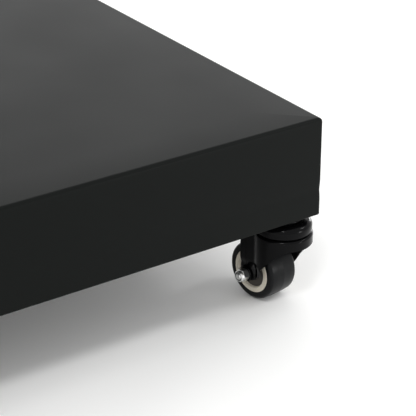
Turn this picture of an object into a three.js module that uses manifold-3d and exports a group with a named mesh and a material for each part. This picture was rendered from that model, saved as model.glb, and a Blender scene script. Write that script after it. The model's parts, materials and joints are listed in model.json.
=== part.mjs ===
// A mobile counting scale: a deep sheet-metal platform on four swivel castors, weighed by one
// load cell, with a column at the back that carries a tilting counting indicator.
// Millimetres, +Z up, +Y to the back. The floor is z = 0.
import * as THREE from 'three';
import { mergeVertices } from 'three/addons/utils/BufferGeometryUtils.js';
import Module from 'manifold-3d';

const wasm = await Module();
wasm.setup();

// ---------------------------------------------------------------- driving dimensions

const GAP = 0.3; // between pieces that touch
const RUN = 0.4; // radial clearance of a turning fit

// platform
const PLATFORM_W = 500;
const PLATFORM_D = 600;
const SKIRT_H = 83.5;
const SHEET = 2;
const BEND_R = 3.5;
const CORNER_R = 2;
const SKIRT_DROP = 2.5; // how far the skirt hangs below the base frame

// frames
const BASE_TUBE = 30;
const BASE_WALL = 2;
const BASE_INSET = 5.5; // from the outside of the skirt to the base frame
const LOAD_TUBE = 20;
const LOAD_WALL = 1.5;
const LOAD_INSET = 3.5;
const BEAM_W = 50;
const BUFFER_H = 4.4;
const BUFFER_R = 9;
const DRAIN_R = 5;

// load cell, lying along Y
const CELL_L = 150;
const CELL_W = 40;
const CELL_H = 25;
const CELL_BORE_R = 8;
const CELL_BORE_SPAN = 26;
const SPACER_L = 46;
const UPPER_SPACER_H = 3;
const LOWER_SPACER_H = 5;

// overload stops
const STOP_R = 4;
const STOP_GAP = 0.8;
const STOP_NUT_R = 7.5;
const STOP_NUT_H = 6.5;
const STOP_Y = 180;

// castors
const WHEEL_R = 25;
const WHEEL_W = 28.4;
const TREAD_DROP = 0.4; // how far the crowned tread falls away towards its shoulders
const SHOULDER = 3.2;
const HUB_R = 18.5;
const HUB_RING_R = 14.2; // inner edge of the raised ring on each side of the hub
const HUB_RECESS = 2;
const HUB_BOSS_R = 6;
const TRAIL = 22.5;
const REST_TURN = 8; // degrees that each wheel is turned from straight back
const AXLE_R = 3;
const WHEEL_SIDES = 20;
const CROWN_RISE = 17.3; // from the top of the wheel to the top of the fork
const CROWN_R = 23.8;
const CROWN_H = 9;
const FORK_WALL = 2;
const LEG_HALF = 20.5; // from the wheel's middle to the outside of a leg
const LEG_END_R = 6.2;
const LEG_STEP = 1.5; // each leg is pressed inwards at the axle
const LEG_STEP_UP = 14.5; // where the step starts, above the axle
const LEG_STEP_H = 7;
const CUP_R = 23;
const CUP_H = 9.4;
const CUP_WALL = 2;
const HEAD_GAP = 1.3; // between the fork and the rim of the cup
const COLLAR_R = 12.6;
const COLLAR_H = 8;
const COLLAR_BEAD = 2.6;
const STEM_R = 6;
const STEM_L = 20;
const KINGPIN_R = 5;
const PIN_HEAD_R = 8;
const PIN_HEAD_H = 3.4;
const BUSH_WALL = 5;
const NUT_AF = 10;
const NUT_H = 6;
const NUT_FLANGE_R = 6.8;
const NUT_FLANGE_H = 1.2;
const BOLT_STICKOUT = 1.9;
const BOLT_HEAD_H = 4;

// column
const COLUMN_R = 22.5;
const COLUMN_WALL = 2;
const COLUMN_H = 745; // top of the column above the floor
const COLUMN_GAP = 8; // from the skirt to the bracket's socket
const SOCKET_WALL = 5;
const SOCKET_H = 110;
const BRACKET_PLATE = 6;
const BRACKET_W = 120;
const BRACKET_TO_SKIRT = 1.5;
const RIB_W = 5;
const LEVEL_R = 9;
const LEVEL_H = 8;

// indicator, in its own frame: face towards -Y, origin on the tilt axis
const IND_W = 250;
const IND_H = 150;
const IND_D = 60;
const IND_R = 12;
const IND_EDGE = 3;
const IND_WALL = 2.5;
const IND_SPLIT = -8; // where the two shells meet
const IND_TILT = 30; // degrees that the face leans back at rest
const WINDOW_W = 206;
const WINDOW_H = 36;
const WINDOW_T = 1.2;
const WINDOW_LEDGE = 4;
const WINDOW_UP = 42; // window's middle above the tilt axis
const KEYPAD_W = 222;
const KEYPAD_H = 84;
const KEYPAD_T = 0.8;
const KEYPAD_DOWN = 25;
const MODULE_H = 40;
const MODULE_T = 8;
const BOARD_T = 1.6;
const BOARD_BACK = 16; // from the face to the circuit board
const BATTERY = [96, 24, 56];
const DOOR_W = 112;
const DOOR_H = 68;
const DOOR_T = 2.2;
const DOOR_LEDGE = 5;
const DOOR_TOP = 20; // door's hinge edge above the tilt axis
const SIDE_FITTING_X = 92;
const FITTING_Z = -28;
const INLET = [14, 11];
const INLET_DEPTH = 12;
const INLET_R = 2.9;
const INLET_PIN_R = 1;
const ROCKER = [12.8, 5, 18];
const ROCKER_THROW = 8; // degrees each way from level
const GLAND_R = 7;
const GLAND_TIP_R = 4;
const GLAND_L = 16;
const GLAND_BORE_R = 1.9;
const ARM_T = 3;
const ARM_D = 40;
const PLATE_T = 4;
const KNOB_R = 16;
const KNOB_L = 16;
const KNOB_LOBES = 6;
const KNOB_SHANK_R = 4;
const SWING_GAP = 5; // between the swinging indicator and the plate under it

// ---------------------------------------------------------------- derived dimensions

const crownTop = 2 * WHEEL_R + CROWN_RISE;
const cupRim = crownTop + HEAD_GAP;
const cupTop = cupRim + CUP_H;
const baseBottom = cupTop + COLLAR_H;
const baseTop = baseBottom + BASE_TUBE;
const skirtBottom = baseBottom - SKIRT_DROP;
const deckTop = skirtBottom + SKIRT_H;
const deckUnder = deckTop - SHEET;
const loadTop = deckUnder - 2 * GAP - BUFFER_H;
const loadBottom = loadTop - LOAD_TUBE;
const cellTop = loadBottom - 2 * GAP - UPPER_SPACER_H;
const cellBottom = cellTop - CELL_H;
const beamTop = cellBottom - 2 * GAP - LOWER_SPACER_H;
const beamY = CELL_L / 2 - BEAM_W / 2; // distance of each beam's middle from the load cell's

const castorInset = BASE_INSET + BASE_TUBE / 2;
const castorX = PLATFORM_W / 2 - castorInset;
const castorY = PLATFORM_D / 2 - castorInset;
const loadTubeX = PLATFORM_W / 2 - LOAD_INSET - LOAD_TUBE / 2;
const loadTubeY = PLATFORM_D / 2 - LOAD_INSET - LOAD_TUBE / 2;

const socketR = COLUMN_R + RUN + SOCKET_WALL;
const columnY = PLATFORM_D / 2 + COLUMN_GAP + socketR;
const bracketTop = skirtBottom - BRACKET_TO_SKIRT;
const bracketBottom = bracketTop - BRACKET_PLATE;

const swingR = Math.hypot(IND_H, IND_D) / 2;
const plateTop = COLUMN_H + PLATE_T;
const tiltZ = plateTop + SWING_GAP + swingR;
const tiltRad = THREE.MathUtils.degToRad(IND_TILT);
const faceY = -IND_D / 2;
const backY = IND_D / 2;
const doorZ = DOOR_TOP - DOOR_H / 2;

// ---------------------------------------------------------------- solids

// Turn a closed geometry into a solid, with its faces pointing out.
function solid(geometry) {
  const bare = geometry.clone();
  for (const name of Object.keys(bare.attributes)) {
    if (name !== 'position') bare.deleteAttribute(name);
  }
  const merged = mergeVertices(bare, 1e-4);
  const p = merged.attributes.position.array;
  const triangles = [];
  let volume = 0;
  for (let i = 0; i < merged.index.count; i += 3) {
    const [a, b, c] = [0, 1, 2].map((k) => merged.index.array[i + k]);
    if (a === b || b === c || c === a) continue;
    triangles.push([a, b, c]);
    const [u, v, w] = [a, b, c].map((k) => new THREE.Vector3().fromArray(p, 3 * k));
    volume += u.dot(v.cross(w));
  }
  const facing = volume > 0 ? triangles : triangles.map(([a, b, c]) => [a, c, b]);
  const triVerts = Uint32Array.from(facing.flat());
  const mesh = new wasm.Mesh({ numProp: 3, vertProperties: Float32Array.from(p), triVerts });
  return new wasm.Manifold(mesh);
}

function geometryOf(body) {
  const { vertProperties, triVerts, numProp } = body.getMesh();
  const geometry = new THREE.BufferGeometry();
  const positions = [];
  for (let i = 0; i < vertProperties.length; i += numProp) {
    positions.push(vertProperties[i], vertProperties[i + 1], vertProperties[i + 2]);
  }
  geometry.setAttribute('position', new THREE.Float32BufferAttribute(positions, 3));
  geometry.setIndex([...triVerts]);
  const flat = geometry.toNonIndexed();
  flat.computeVertexNormals();
  return flat;
}

const join = (...bodies) => bodies.reduce((a, b) => a.add(b));
const cut = (body, ...tools) => tools.reduce((a, b) => a.subtract(b), body);

// A box from its lowest corner to its highest.
function block(x0, x1, y0, y1, z0, z1) {
  const geometry = new THREE.BoxGeometry(x1 - x0, y1 - y0, z1 - z0);
  return solid(geometry.translate((x0 + x1) / 2, (y0 + y1) / 2, (z0 + z1) / 2));
}

// A box given by its middle and size.
function blockAt(x, y, z, w, d, h) {
  return block(x - w / 2, x + w / 2, y - d / 2, y + d / 2, z - h / 2, z + h / 2);
}

// A cylinder, cone or prism along +Z.
function rod(x, y, z0, z1, r0, sides = 20, r1 = r0) {
  const geometry = new THREE.CylinderGeometry(r1, r0, z1 - z0, sides).rotateX(Math.PI / 2);
  return solid(geometry.translate(x, y, (z0 + z1) / 2));
}

// A solid of revolution about Z: points are [radius, height].
function turned(points, sides = 20) {
  const profile = points.map(([r, z]) => new THREE.Vector2(r, z));
  const geometry = new THREE.LatheGeometry(profile, sides).rotateX(Math.PI / 2);
  return solid(geometry);
}

// A shape drawn in X and Z, as thick as y0 to y1.
function slabXZ(shape, y0, y1, segments = 4) {
  const options = { depth: y1 - y0, bevelEnabled: false, curveSegments: segments };
  const geometry = new THREE.ExtrudeGeometry(shape, options);
  return solid(geometry.rotateX(Math.PI / 2).translate(0, y1, 0));
}

// A shape drawn in Y and Z, as thick as x0 to x1.
function slabYZ(shape, x0, x1, segments = 6) {
  const options = { depth: x1 - x0, bevelEnabled: false, curveSegments: segments };
  const geometry = new THREE.ExtrudeGeometry(shape, options);
  return solid(geometry.rotateX(Math.PI / 2).rotateZ(Math.PI / 2).translate(x0, 0, 0));
}

function roundedRect(w, h, r) {
  const shape = new THREE.Shape();
  shape.moveTo(-w / 2 + r, -h / 2);
  shape.lineTo(w / 2 - r, -h / 2);
  shape.absarc(w / 2 - r, -h / 2 + r, r, -Math.PI / 2, 0);
  shape.absarc(w / 2 - r, h / 2 - r, r, 0, Math.PI / 2);
  shape.absarc(-w / 2 + r, h / 2 - r, r, Math.PI / 2, Math.PI);
  shape.absarc(-w / 2 + r, -h / 2 + r, r, Math.PI, 1.5 * Math.PI);
  return shape;
}

// A rounded rectangle standing on z0 whose top edge at z1 is rounded too.
function domedBlock(w, d, z0, z1, corner, edge) {
  const shape = roundedRect(w - 2 * edge, d - 2 * edge, Math.max(corner - edge, 0.4));
  const bevel = { bevelThickness: edge, bevelSize: edge, bevelSegments: 2 };
  const options = { depth: z1 - z0, curveSegments: 2, ...bevel };
  const whole = solid(new THREE.ExtrudeGeometry(shape, options).translate(0, 0, z0 - edge));
  const keep = block(-w, w, -d, d, z0, z1 + edge);
  return whole.intersect(keep);
}

// ---------------------------------------------------------------- materials

function finish(color, roughness, metalness) {
  return new THREE.MeshStandardMaterial({ color, roughness, metalness });
}

const MATERIALS = {
  blackPaint: finish(0x232524, 0.5, 0.1),
  framePaint: finish(0x2b2d2f, 0.55, 0.1),
  glossBlack: finish(0x141416, 0.25, 0.2),
  zinc: finish(0xb9bcc0, 0.3, 0.9),
  steel: finish(0x8d9196, 0.35, 0.9),
  aluminium: finish(0xb4b8bc, 0.4, 0.9),
  rubber: finish(0x1b1b1c, 0.8, 0),
  tread: finish(0x1f2022, 0.45, 0),
  creamPlastic: finish(0xd3cec2, 0.4, 0),
  greyPlastic: finish(0xd9dad7, 0.5, 0),
  darkPlastic: finish(0x26282b, 0.5, 0),
  lens: finish(0x30383c, 0.1, 0),
  display: finish(0x8d9a7f, 0.3, 0),
  keypad: finish(0x4a525c, 0.45, 0),
  board: finish(0x1f5a38, 0.5, 0),
  battery: finish(0x3a4652, 0.5, 0),
  level: finish(0xcbd84a, 0.2, 0),
};

function piece(name, body, material) {
  const mesh = new THREE.Mesh(geometryOf(body), MATERIALS[material]);
  mesh.name = name;
  return mesh;
}

// ---------------------------------------------------------------- castors
// In a castor's own frame the swivel axis is Z, the floor is z = 0 and the wheel trails to +Y.

const crownUnder = crownTop - FORK_WALL;
const raceTop = cupTop - CUP_WALL - GAP;
const legFoot = LEG_HALF - LEG_STEP; // outer face of a leg at the axle
const legFootInner = legFoot - FORK_WALL;
const flatFrom = Math.sqrt(CROWN_R ** 2 - LEG_HALF ** 2); // where the round wall meets the flat leg

// Pressed cup, kingpin, collar and threaded stem, riveted up as one.
function castorHead() {
  const pinHead = crownUnder - GAP;
  return turned([
    [0, pinHead - PIN_HEAD_H],
    [PIN_HEAD_R, pinHead - PIN_HEAD_H],
    [PIN_HEAD_R, pinHead],
    [KINGPIN_R, pinHead],
    [KINGPIN_R, cupTop - CUP_WALL],
    [CUP_R - CUP_WALL, cupTop - CUP_WALL],
    [CUP_R - CUP_WALL, cupRim],
    [CUP_R, cupRim],
    [CUP_R, cupTop - 0.4 * CUP_H],
    [CUP_R - 0.15 * CUP_H, cupTop - 0.12 * CUP_H],
    [CUP_R - 0.6 * CUP_H, cupTop],
    [COLLAR_R + COLLAR_BEAD, cupTop + COLLAR_BEAD],
    [COLLAR_R, cupTop + COLLAR_BEAD],
    [COLLAR_R, baseBottom - GAP],
    [STEM_R, baseBottom - GAP],
    [STEM_R, baseBottom + STEM_L],
    [0, baseBottom + STEM_L],
  ], 16);
}

function castorRace() {
  const inner = KINGPIN_R + 3;
  const outer = CUP_R - CUP_WALL - 0.6;
  const bottom = crownTop + GAP;
  return turned([
    [inner, bottom],
    [outer, bottom],
    [outer, raceTop],
    [inner, raceTop],
    [inner, bottom],
  ], 16);
}

// Side view of the fork in Y and Z: front wall, sloping leg and round end at the axle.
function forkOutline() {
  const crownBottom = crownTop - CROWN_H;
  const legBack = TRAIL + LEG_END_R;
  const shape = new THREE.Shape();
  shape.moveTo(-CROWN_R - 1, crownTop + 1);
  shape.lineTo(-CROWN_R - 1, crownBottom + 0.4);
  shape.lineTo(-0.8 * CROWN_R, crownBottom);
  shape.lineTo(-0.48 * CROWN_R, crownBottom - 5.3);
  shape.lineTo(-0.17 * CROWN_R, WHEEL_R + 21);
  shape.lineTo(0.1 * CROWN_R, WHEEL_R + 12.5);
  shape.lineTo(TRAIL - 15.3, WHEEL_R + 2);
  shape.lineTo(TRAIL - 10.3, WHEEL_R - 1.6);
  shape.absarc(TRAIL, WHEEL_R, LEG_END_R, 1.3 * Math.PI, 2 * Math.PI);
  shape.lineTo(legBack, crownBottom - 7);
  shape.quadraticCurveTo(legBack, crownBottom, CROWN_R + 0.7, crownBottom + 2);
  shape.lineTo(CROWN_R + 1, crownTop + 1);
  return shape;
}

// The round crown with its rolled rim, and the wall that hangs from it.
function forkCrown() {
  const bottom = WHEEL_R - LEG_END_R;
  return turned([
    [KINGPIN_R + RUN, crownUnder],
    [CROWN_R - FORK_WALL, crownUnder],
    [CROWN_R - FORK_WALL, bottom],
    [CROWN_R, bottom],
    [CROWN_R, crownTop - FORK_WALL],
    [CROWN_R - 0.3 * FORK_WALL, crownTop - 0.3 * FORK_WALL],
    [CROWN_R - FORK_WALL, crownTop],
    [KINGPIN_R + RUN, crownTop],
    [KINGPIN_R + RUN, crownUnder],
  ], 24);
}

// One flat leg, stepped inwards towards the axle.
function forkLeg(side) {
  const stepTop = WHEEL_R + LEG_STEP_UP;
  const stepBottom = stepTop - LEG_STEP_H;
  const bottom = WHEEL_R - LEG_END_R - 1;
  const top = crownTop - FORK_WALL / 2;
  const inner = LEG_HALF - FORK_WALL;
  const section = new THREE.Shape();
  section.moveTo(LEG_HALF, top);
  section.lineTo(LEG_HALF, stepTop);
  section.lineTo(legFoot, stepBottom);
  section.lineTo(legFoot, bottom);
  section.lineTo(legFootInner, bottom);
  section.lineTo(legFootInner, stepBottom);
  section.lineTo(inner, stepTop);
  section.lineTo(inner, top);
  const leg = slabXZ(section, flatFrom - 3, TRAIL + LEG_END_R + 1);
  return side > 0 ? leg : leg.mirror([1, 0, 0]);
}

function castorFork() {
  const outline = slabYZ(forkOutline(), -CROWN_R - 1, CROWN_R + 1, 4);
  const wheelWay = block(-2 * CROWN_R, 2 * CROWN_R, flatFrom, 2 * CROWN_R, 0, crownTop - CROWN_H);
  const axleHole = onAxle(rod(0, 0, -2 * LEG_HALF, 2 * LEG_HALF, AXLE_R + RUN, 12));
  const crown = cut(forkCrown(), wheelWay);
  return cut(join(crown, forkLeg(1), forkLeg(-1)).intersect(outline), axleHole);
}

// The wheel's own axis is X.
function onAxle(body) {
  return body.rotate([0, 90, 0]).translate([0, TRAIL, WHEEL_R]);
}

function castorHub() {
  const half = WHEEL_W / 2;
  const floor = half - HUB_RECESS;
  const side = [
    [AXLE_R + RUN, legFootInner - GAP],
    [HUB_BOSS_R, legFootInner - GAP],
    [HUB_BOSS_R, floor],
    [HUB_RING_R - 0.6, floor],
    [HUB_RING_R, half],
    [HUB_R, half],
  ];
  const mirrored = side.map(([r, z]) => [r, -z]).reverse();
  return onAxle(turned([...side, ...mirrored, side[0]], WHEEL_SIDES));
}

function castorTyre() {
  const half = WHEEL_W / 2;
  const bore = HUB_R + GAP;
  const side = [
    [bore, half - 0.2],
    [WHEEL_R - SHOULDER, half],
    [WHEEL_R - TREAD_DROP, half - SHOULDER],
    [WHEEL_R, 0.4 * half],
  ];
  const mirrored = side.map(([r, z]) => [r, -z]).reverse();
  return onAxle(turned([...side, ...mirrored, side[0]], WHEEL_SIDES));
}

const nutSeat = legFoot + GAP;
const nutEnd = nutSeat + NUT_FLANGE_H + NUT_H;

// Bolt through both legs: its head is outboard and its nut inboard.
function castorBolt() {
  const shank = rod(0, 0, -nutSeat, nutEnd + BOLT_STICKOUT, AXLE_R, 12);
  const head = rod(0, 0, -nutSeat - BOLT_HEAD_H, -nutSeat, NUT_AF / Math.sqrt(3), 6);
  return onAxle(join(shank, head).rotate([0, 180, 0]));
}

function castorNut() {
  const flange = rod(0, 0, nutSeat, nutSeat + NUT_FLANGE_H, NUT_FLANGE_R, 16);
  const nut = rod(0, 0, nutSeat, nutEnd, NUT_AF / Math.sqrt(3), 6);
  const bore = rod(0, 0, nutSeat - 1, nutEnd + 1, AXLE_R + RUN, 12);
  return onAxle(cut(join(flange, nut), bore).rotate([0, 180, 0]));
}

// side is +1 on the right and -1 on the left, where the bolt is put in from the other side.
function castor(place, side) {
  const group = new THREE.Group();
  const bolted = (body) => (side > 0 ? body : body.mirror([1, 0, 0]));
  group.add(
    piece(`castor_${place}_head`, castorHead(), 'glossBlack'),
    piece(`castor_${place}_ball_race`, castorRace(), 'steel'),
    piece(`castor_${place}_fork`, castorFork(), 'glossBlack'),
    piece(`castor_${place}_hub`, castorHub(), 'creamPlastic'),
    piece(`castor_${place}_tyre`, castorTyre(), 'tread'),
    piece(`castor_${place}_axle_bolt`, bolted(castorBolt()), 'zinc'),
    piece(`castor_${place}_lock_nut`, bolted(castorNut()), 'zinc'),
  );
  group.rotation.z = THREE.MathUtils.degToRad(side * REST_TURN);
  return group;
}

const CORNERS = [
  ['front_right', 1, -1],
  ['front_left', -1, -1],
  ['rear_right', 1, 1],
  ['rear_left', -1, 1],
];

function castors() {
  return CORNERS.map(([place, sx, sy]) => {
    const group = castor(place, sx);
    group.position.set(sx * castorX, sy * castorY, 0);
    return group;
  });
}

// ---------------------------------------------------------------- platform

function platformCover() {
  const outside = domedBlock(PLATFORM_W, PLATFORM_D, skirtBottom, deckTop, CORNER_R, BEND_R);
  const inner = [PLATFORM_W - 2 * SHEET, PLATFORM_D - 2 * SHEET];
  const inside = domedBlock(...inner, skirtBottom - 1, deckUnder, 1, BEND_R - SHEET);
  return piece('platform_cover', cut(outside, inside), 'blackPaint');
}

// A rectangular ring of square tube, hollow, with a cross beam whose hollow opens into the ring's.
function tubeFrame({ halfW, halfD, size, wall, z0, z1, beamAt, beamZ0, beamZ1 }) {
  const shell = (grow) => {
    const t = size / 2 + grow;
    const ring = cut(
      block(-halfW - t, halfW + t, -halfD - t, halfD + t, z0 - grow, z1 + grow),
      block(-halfW + t, halfW - t, -halfD + t, halfD - t, z0 - 9, z1 + 9),
    );
    const halfBeam = BEAM_W / 2 + grow;
    const beam = block(-halfW, halfW, beamAt - halfBeam, beamAt + halfBeam, beamZ0 - grow, beamZ1 + grow);
    return ring.add(beam);
  };
  const drains = [-1, 1].map((s) => rod(0, s * halfD, z0 - 1, z0 + 1.5 * wall, DRAIN_R, 8));
  return cut(shell(0), shell(-wall), ...drains);
}

function baseFrame() {
  const tubes = tubeFrame({
    halfW: castorX,
    halfD: castorY,
    size: BASE_TUBE,
    wall: BASE_WALL,
    z0: baseBottom,
    z1: baseTop,
    beamAt: -beamY,
    beamZ0: baseBottom,
    beamZ1: beamTop,
  });
  const bushes = CORNERS.map(([, sx, sy]) =>
    rod(sx * castorX, sy * castorY, baseBottom + 0.5, baseTop - 0.5, STEM_R + RUN + BUSH_WALL, 12));
  const bores = CORNERS.map(([, sx, sy]) =>
    rod(sx * castorX, sy * castorY, baseBottom - 1, baseBottom + STEM_L + 2, STEM_R + RUN, 16));
  const stops = CORNERS.map(([, sx, sy]) =>
    rod(sx * castorX, sy * STOP_Y, baseTop - 1.5 * BASE_WALL, baseTop + 1, STOP_R + RUN, 8));
  return piece('base_frame', cut(join(tubes, ...bushes), ...bores, ...stops), 'framePaint');
}

function loadFrame() {
  const tubes = tubeFrame({
    halfW: loadTubeX,
    halfD: loadTubeY,
    size: LOAD_TUBE,
    wall: LOAD_WALL,
    z0: loadBottom,
    z1: loadTop,
    beamAt: beamY,
    beamZ0: loadBottom,
    beamZ1: loadTop,
  });
  return piece('load_frame', tubes, 'framePaint');
}

function loadCell() {
  const middle = (cellBottom + cellTop) / 2;
  const body = blockAt(0, 0, middle, CELL_W, CELL_L, CELL_H);
  const bores = [-1, 1].map((s) => {
    const bore = rod(0, 0, -CELL_W, CELL_W, CELL_BORE_R, 16).rotate([0, 90, 0]);
    return bore.translate([0, (s * CELL_BORE_SPAN) / 2, middle]);
  });
  const slot = blockAt(0, 0, middle, 2 * CELL_W, CELL_BORE_SPAN, CELL_BORE_R);
  return piece('load_cell', cut(body, ...bores, slot), 'aluminium');
}

// Steel plates between each end of the load cell and its beam.
function spacers() {
  const plate = (y, z, thick) => blockAt(0, y, z + GAP + thick / 2, CELL_W, SPACER_L, thick);
  return [
    piece('lower_spacer', plate(-beamY, beamTop, LOWER_SPACER_H), 'steel'),
    piece('upper_spacer', plate(beamY, cellTop, UPPER_SPACER_H), 'steel'),
  ];
}

function buffers() {
  return CORNERS.map(([place, sx, sy]) => {
    const pad = turned([
      [0, loadTop + GAP],
      [BUFFER_R, loadTop + GAP],
      [BUFFER_R - 1, loadTop + GAP + BUFFER_H],
      [0, loadTop + GAP + BUFFER_H],
    ], 16).translate([sx * loadTubeX, sy * loadTubeY, 0]);
    return piece(`rubber_buffer_${place}`, pad, 'rubber');
  });
}

// Adjustable screw with its lock nut, which stops the load frame before the cell is overloaded.
function overloadStops() {
  return CORNERS.map(([place, sx, sy]) => {
    const [x, y] = [sx * castorX, sy * STOP_Y];
    const screw = rod(x, y, baseTop - BASE_TUBE / 2, loadBottom - STOP_GAP, STOP_R, 8);
    const nut = rod(x, y, baseTop + GAP, baseTop + GAP + STOP_NUT_H, STOP_NUT_R, 6);
    return piece(`overload_stop_${place}`, join(screw, nut), 'zinc');
  });
}

// ---------------------------------------------------------------- column

function columnBracket() {
  const front = castorY - BASE_TUBE / 2;
  const back = columnY + socketR;
  const half = BRACKET_W / 2;
  const pad = block(-half, half, front, castorY + BASE_TUBE / 2, bracketBottom, baseBottom - GAP);
  const plate = block(-half, half, front, back, bracketBottom, bracketTop);
  const socket = rod(0, columnY, bracketBottom, bracketTop + SOCKET_H, socketR, 20);
  const bore = rod(0, columnY, bracketTop, bracketTop + SOCKET_H + 1, COLUMN_R + RUN, 20);
  const ribShape = (s) => {
    const shape = new THREE.Shape();
    shape.moveTo(s * (socketR - 2), bracketTop - 1);
    shape.lineTo(s * half, bracketTop - 1);
    shape.lineTo(s * (socketR - 2), bracketTop + 0.8 * SOCKET_H);
    return shape;
  };
  const ribs = [-1, 1].map((s) => slabXZ(ribShape(s), columnY - RIB_W / 2, columnY + RIB_W / 2));
  return piece('column_bracket', cut(join(pad, plate, socket, ...ribs), bore), 'framePaint');
}

function columnTube() {
  const outside = rod(0, columnY, bracketTop + GAP, COLUMN_H - GAP, COLUMN_R, 20);
  const bore = rod(0, columnY, bracketTop - 1, COLUMN_H + 1, COLUMN_R - COLUMN_WALL, 20);
  return piece('column_tube', cut(outside, bore), 'blackPaint');
}

function spiritLevel() {
  const vial = turned([
    [0, 0],
    [LEVEL_R, 0],
    [LEVEL_R, LEVEL_H - 1],
    [LEVEL_R - 1, LEVEL_H],
    [0, LEVEL_H],
  ], 20);
  const x = BRACKET_W / 2 - LEVEL_R - 4;
  const y = columnY + socketR - LEVEL_R - 4;
  return piece('spirit_level', vial.translate([x, y, bracketTop + GAP]), 'level');
}

// U-shaped bracket on a plug in the top of the column, drilled for the cable.
function headBracket() {
  const inside = IND_W / 2 + GAP;
  const armShape = new THREE.Shape();
  armShape.moveTo(-ARM_D / 2, COLUMN_H);
  armShape.lineTo(ARM_D / 2, COLUMN_H);
  armShape.lineTo(ARM_D / 2, tiltZ);
  armShape.absarc(0, tiltZ, ARM_D / 2, 0, Math.PI);
  const arms = [inside, -inside - ARM_T].map((x) => slabYZ(armShape, x, x + ARM_T, 6));
  const plate = block(-inside - ARM_T, inside + ARM_T, -ARM_D / 2, ARM_D / 2, COLUMN_H, plateTop);
  const plugR = COLUMN_R - COLUMN_WALL - 2 * GAP;
  const plug = rod(0, 0, COLUMN_H - 1.4 * COLUMN_R, COLUMN_H + 1, plugR, 16);
  const cableWay = rod(0, 0, COLUMN_H - 2 * COLUMN_R, plateTop + 1, plugR - 3, 16);
  const pivot = rod(0, 0, -IND_W, IND_W, KNOB_SHANK_R + RUN, 12).rotate([0, 90, 0]).translate([0, 0, tiltZ]);
  const body = cut(join(plate, ...arms, plug), cableWay, pivot).translate([0, columnY, 0]);
  return piece('head_bracket', body, 'blackPaint');
}

// ---------------------------------------------------------------- indicator

// One half of the case, closed at the face that looks along facing, with a rounded outer edge.
function caseShell(depth, facing) {
  const outside = domedBlock(IND_W, IND_H, 0, depth, IND_R, IND_EDGE);
  const [w, h] = [IND_W - 2 * IND_WALL, IND_H - 2 * IND_WALL];
  const inside = domedBlock(w, h, -1, depth - IND_WALL, IND_R - IND_WALL, 1);
  return cut(outside, inside).rotate([facing * -90, 0, 0]);
}

// A bore for a tilt knob's shank in each side wall.
const knobBores = () => rod(0, 0, -IND_W, IND_W, KNOB_SHANK_R + RUN, 12).rotate([0, 90, 0]);

function indicatorFront() {
  const shell = caseShell(IND_SPLIT - GAP - faceY, -1).translate([0, IND_SPLIT - GAP, 0]);
  const pocket = (z, w, deep, h) => blockAt(0, faceY, z, w, 2 * deep, h);
  const seat = pocket(WINDOW_UP, WINDOW_W + 2 * GAP, WINDOW_T + GAP, WINDOW_H + 2 * GAP);
  const view = pocket(WINDOW_UP, WINDOW_W - 2 * WINDOW_LEDGE, 2 * IND_WALL, WINDOW_H - 2 * WINDOW_LEDGE);
  const padSeat = pocket(-KEYPAD_DOWN, KEYPAD_W + 2 * GAP, KEYPAD_T + GAP, KEYPAD_H + 2 * GAP);
  return piece('indicator_front', cut(shell, seat, view, padSeat), 'greyPlastic');
}

function indicatorRear() {
  const shell = caseShell(backY - IND_SPLIT, 1).translate([0, IND_SPLIT, 0]);
  const pocket = (x, z, w, deep, h) => blockAt(x, backY, z, w, 2 * deep, h);
  const through = 2 * IND_WALL;
  const backing = blockAt(0, backY - DOOR_T - GAP - IND_WALL / 2, doorZ, DOOR_W + 8, IND_WALL, DOOR_H + 8);
  const glandHole = rod(0, 0, -through, through, GLAND_R - 1 + 2 * GAP, 12).rotate([90, 0, 0]);
  const holes = [
    pocket(0, doorZ, DOOR_W + 4 * GAP, DOOR_T + GAP, DOOR_H + 4 * GAP),
    pocket(0, doorZ, DOOR_W - 2 * DOOR_LEDGE, 3 * IND_WALL, DOOR_H - 2 * DOOR_LEDGE),
    pocket(SIDE_FITTING_X, FITTING_Z, INLET[0] + 2 * GAP, through, INLET[1] + 2 * GAP),
    pocket(-SIDE_FITTING_X, FITTING_Z, ROCKER[0] + 4 * GAP, through, ROCKER[2] + 6 * GAP),
    glandHole.translate([-SIDE_FITTING_X, backY, WINDOW_UP]),
    knobBores(),
  ];
  return piece('indicator_rear', cut(join(shell, backing), ...holes), 'greyPlastic');
}

function displayWindow() {
  const y = faceY + GAP / 2 + WINDOW_T / 2;
  return piece('display_window', blockAt(0, y, WINDOW_UP, WINDOW_W, WINDOW_T, WINDOW_H), 'lens');
}

function displayModule() {
  const y = faceY + IND_WALL + GAP + MODULE_T / 2;
  return piece('display_module', blockAt(0, y, WINDOW_UP, WINDOW_W, MODULE_T, MODULE_H), 'display');
}

function keypad() {
  const y = faceY + GAP / 2 + KEYPAD_T / 2;
  return piece('keypad', blockAt(0, y, -KEYPAD_DOWN, KEYPAD_W, KEYPAD_T, KEYPAD_H), 'keypad');
}

function circuitBoard() {
  const y = faceY + BOARD_BACK;
  return piece('circuit_board', blockAt(0, y, 0, IND_W - 24, BOARD_T, IND_H - 24), 'board');
}

function batteryPack() {
  const y = backY - DOOR_T - IND_WALL - 3 * GAP - BATTERY[1] / 2;
  return piece('battery_pack', blockAt(0, y, doorZ, ...BATTERY), 'battery');
}

function batteryDoor() {
  const y = backY - DOOR_T / 2;
  return piece('battery_door', blockAt(0, y, doorZ, DOOR_W, DOOR_T, DOOR_H), 'greyPlastic');
}

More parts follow.
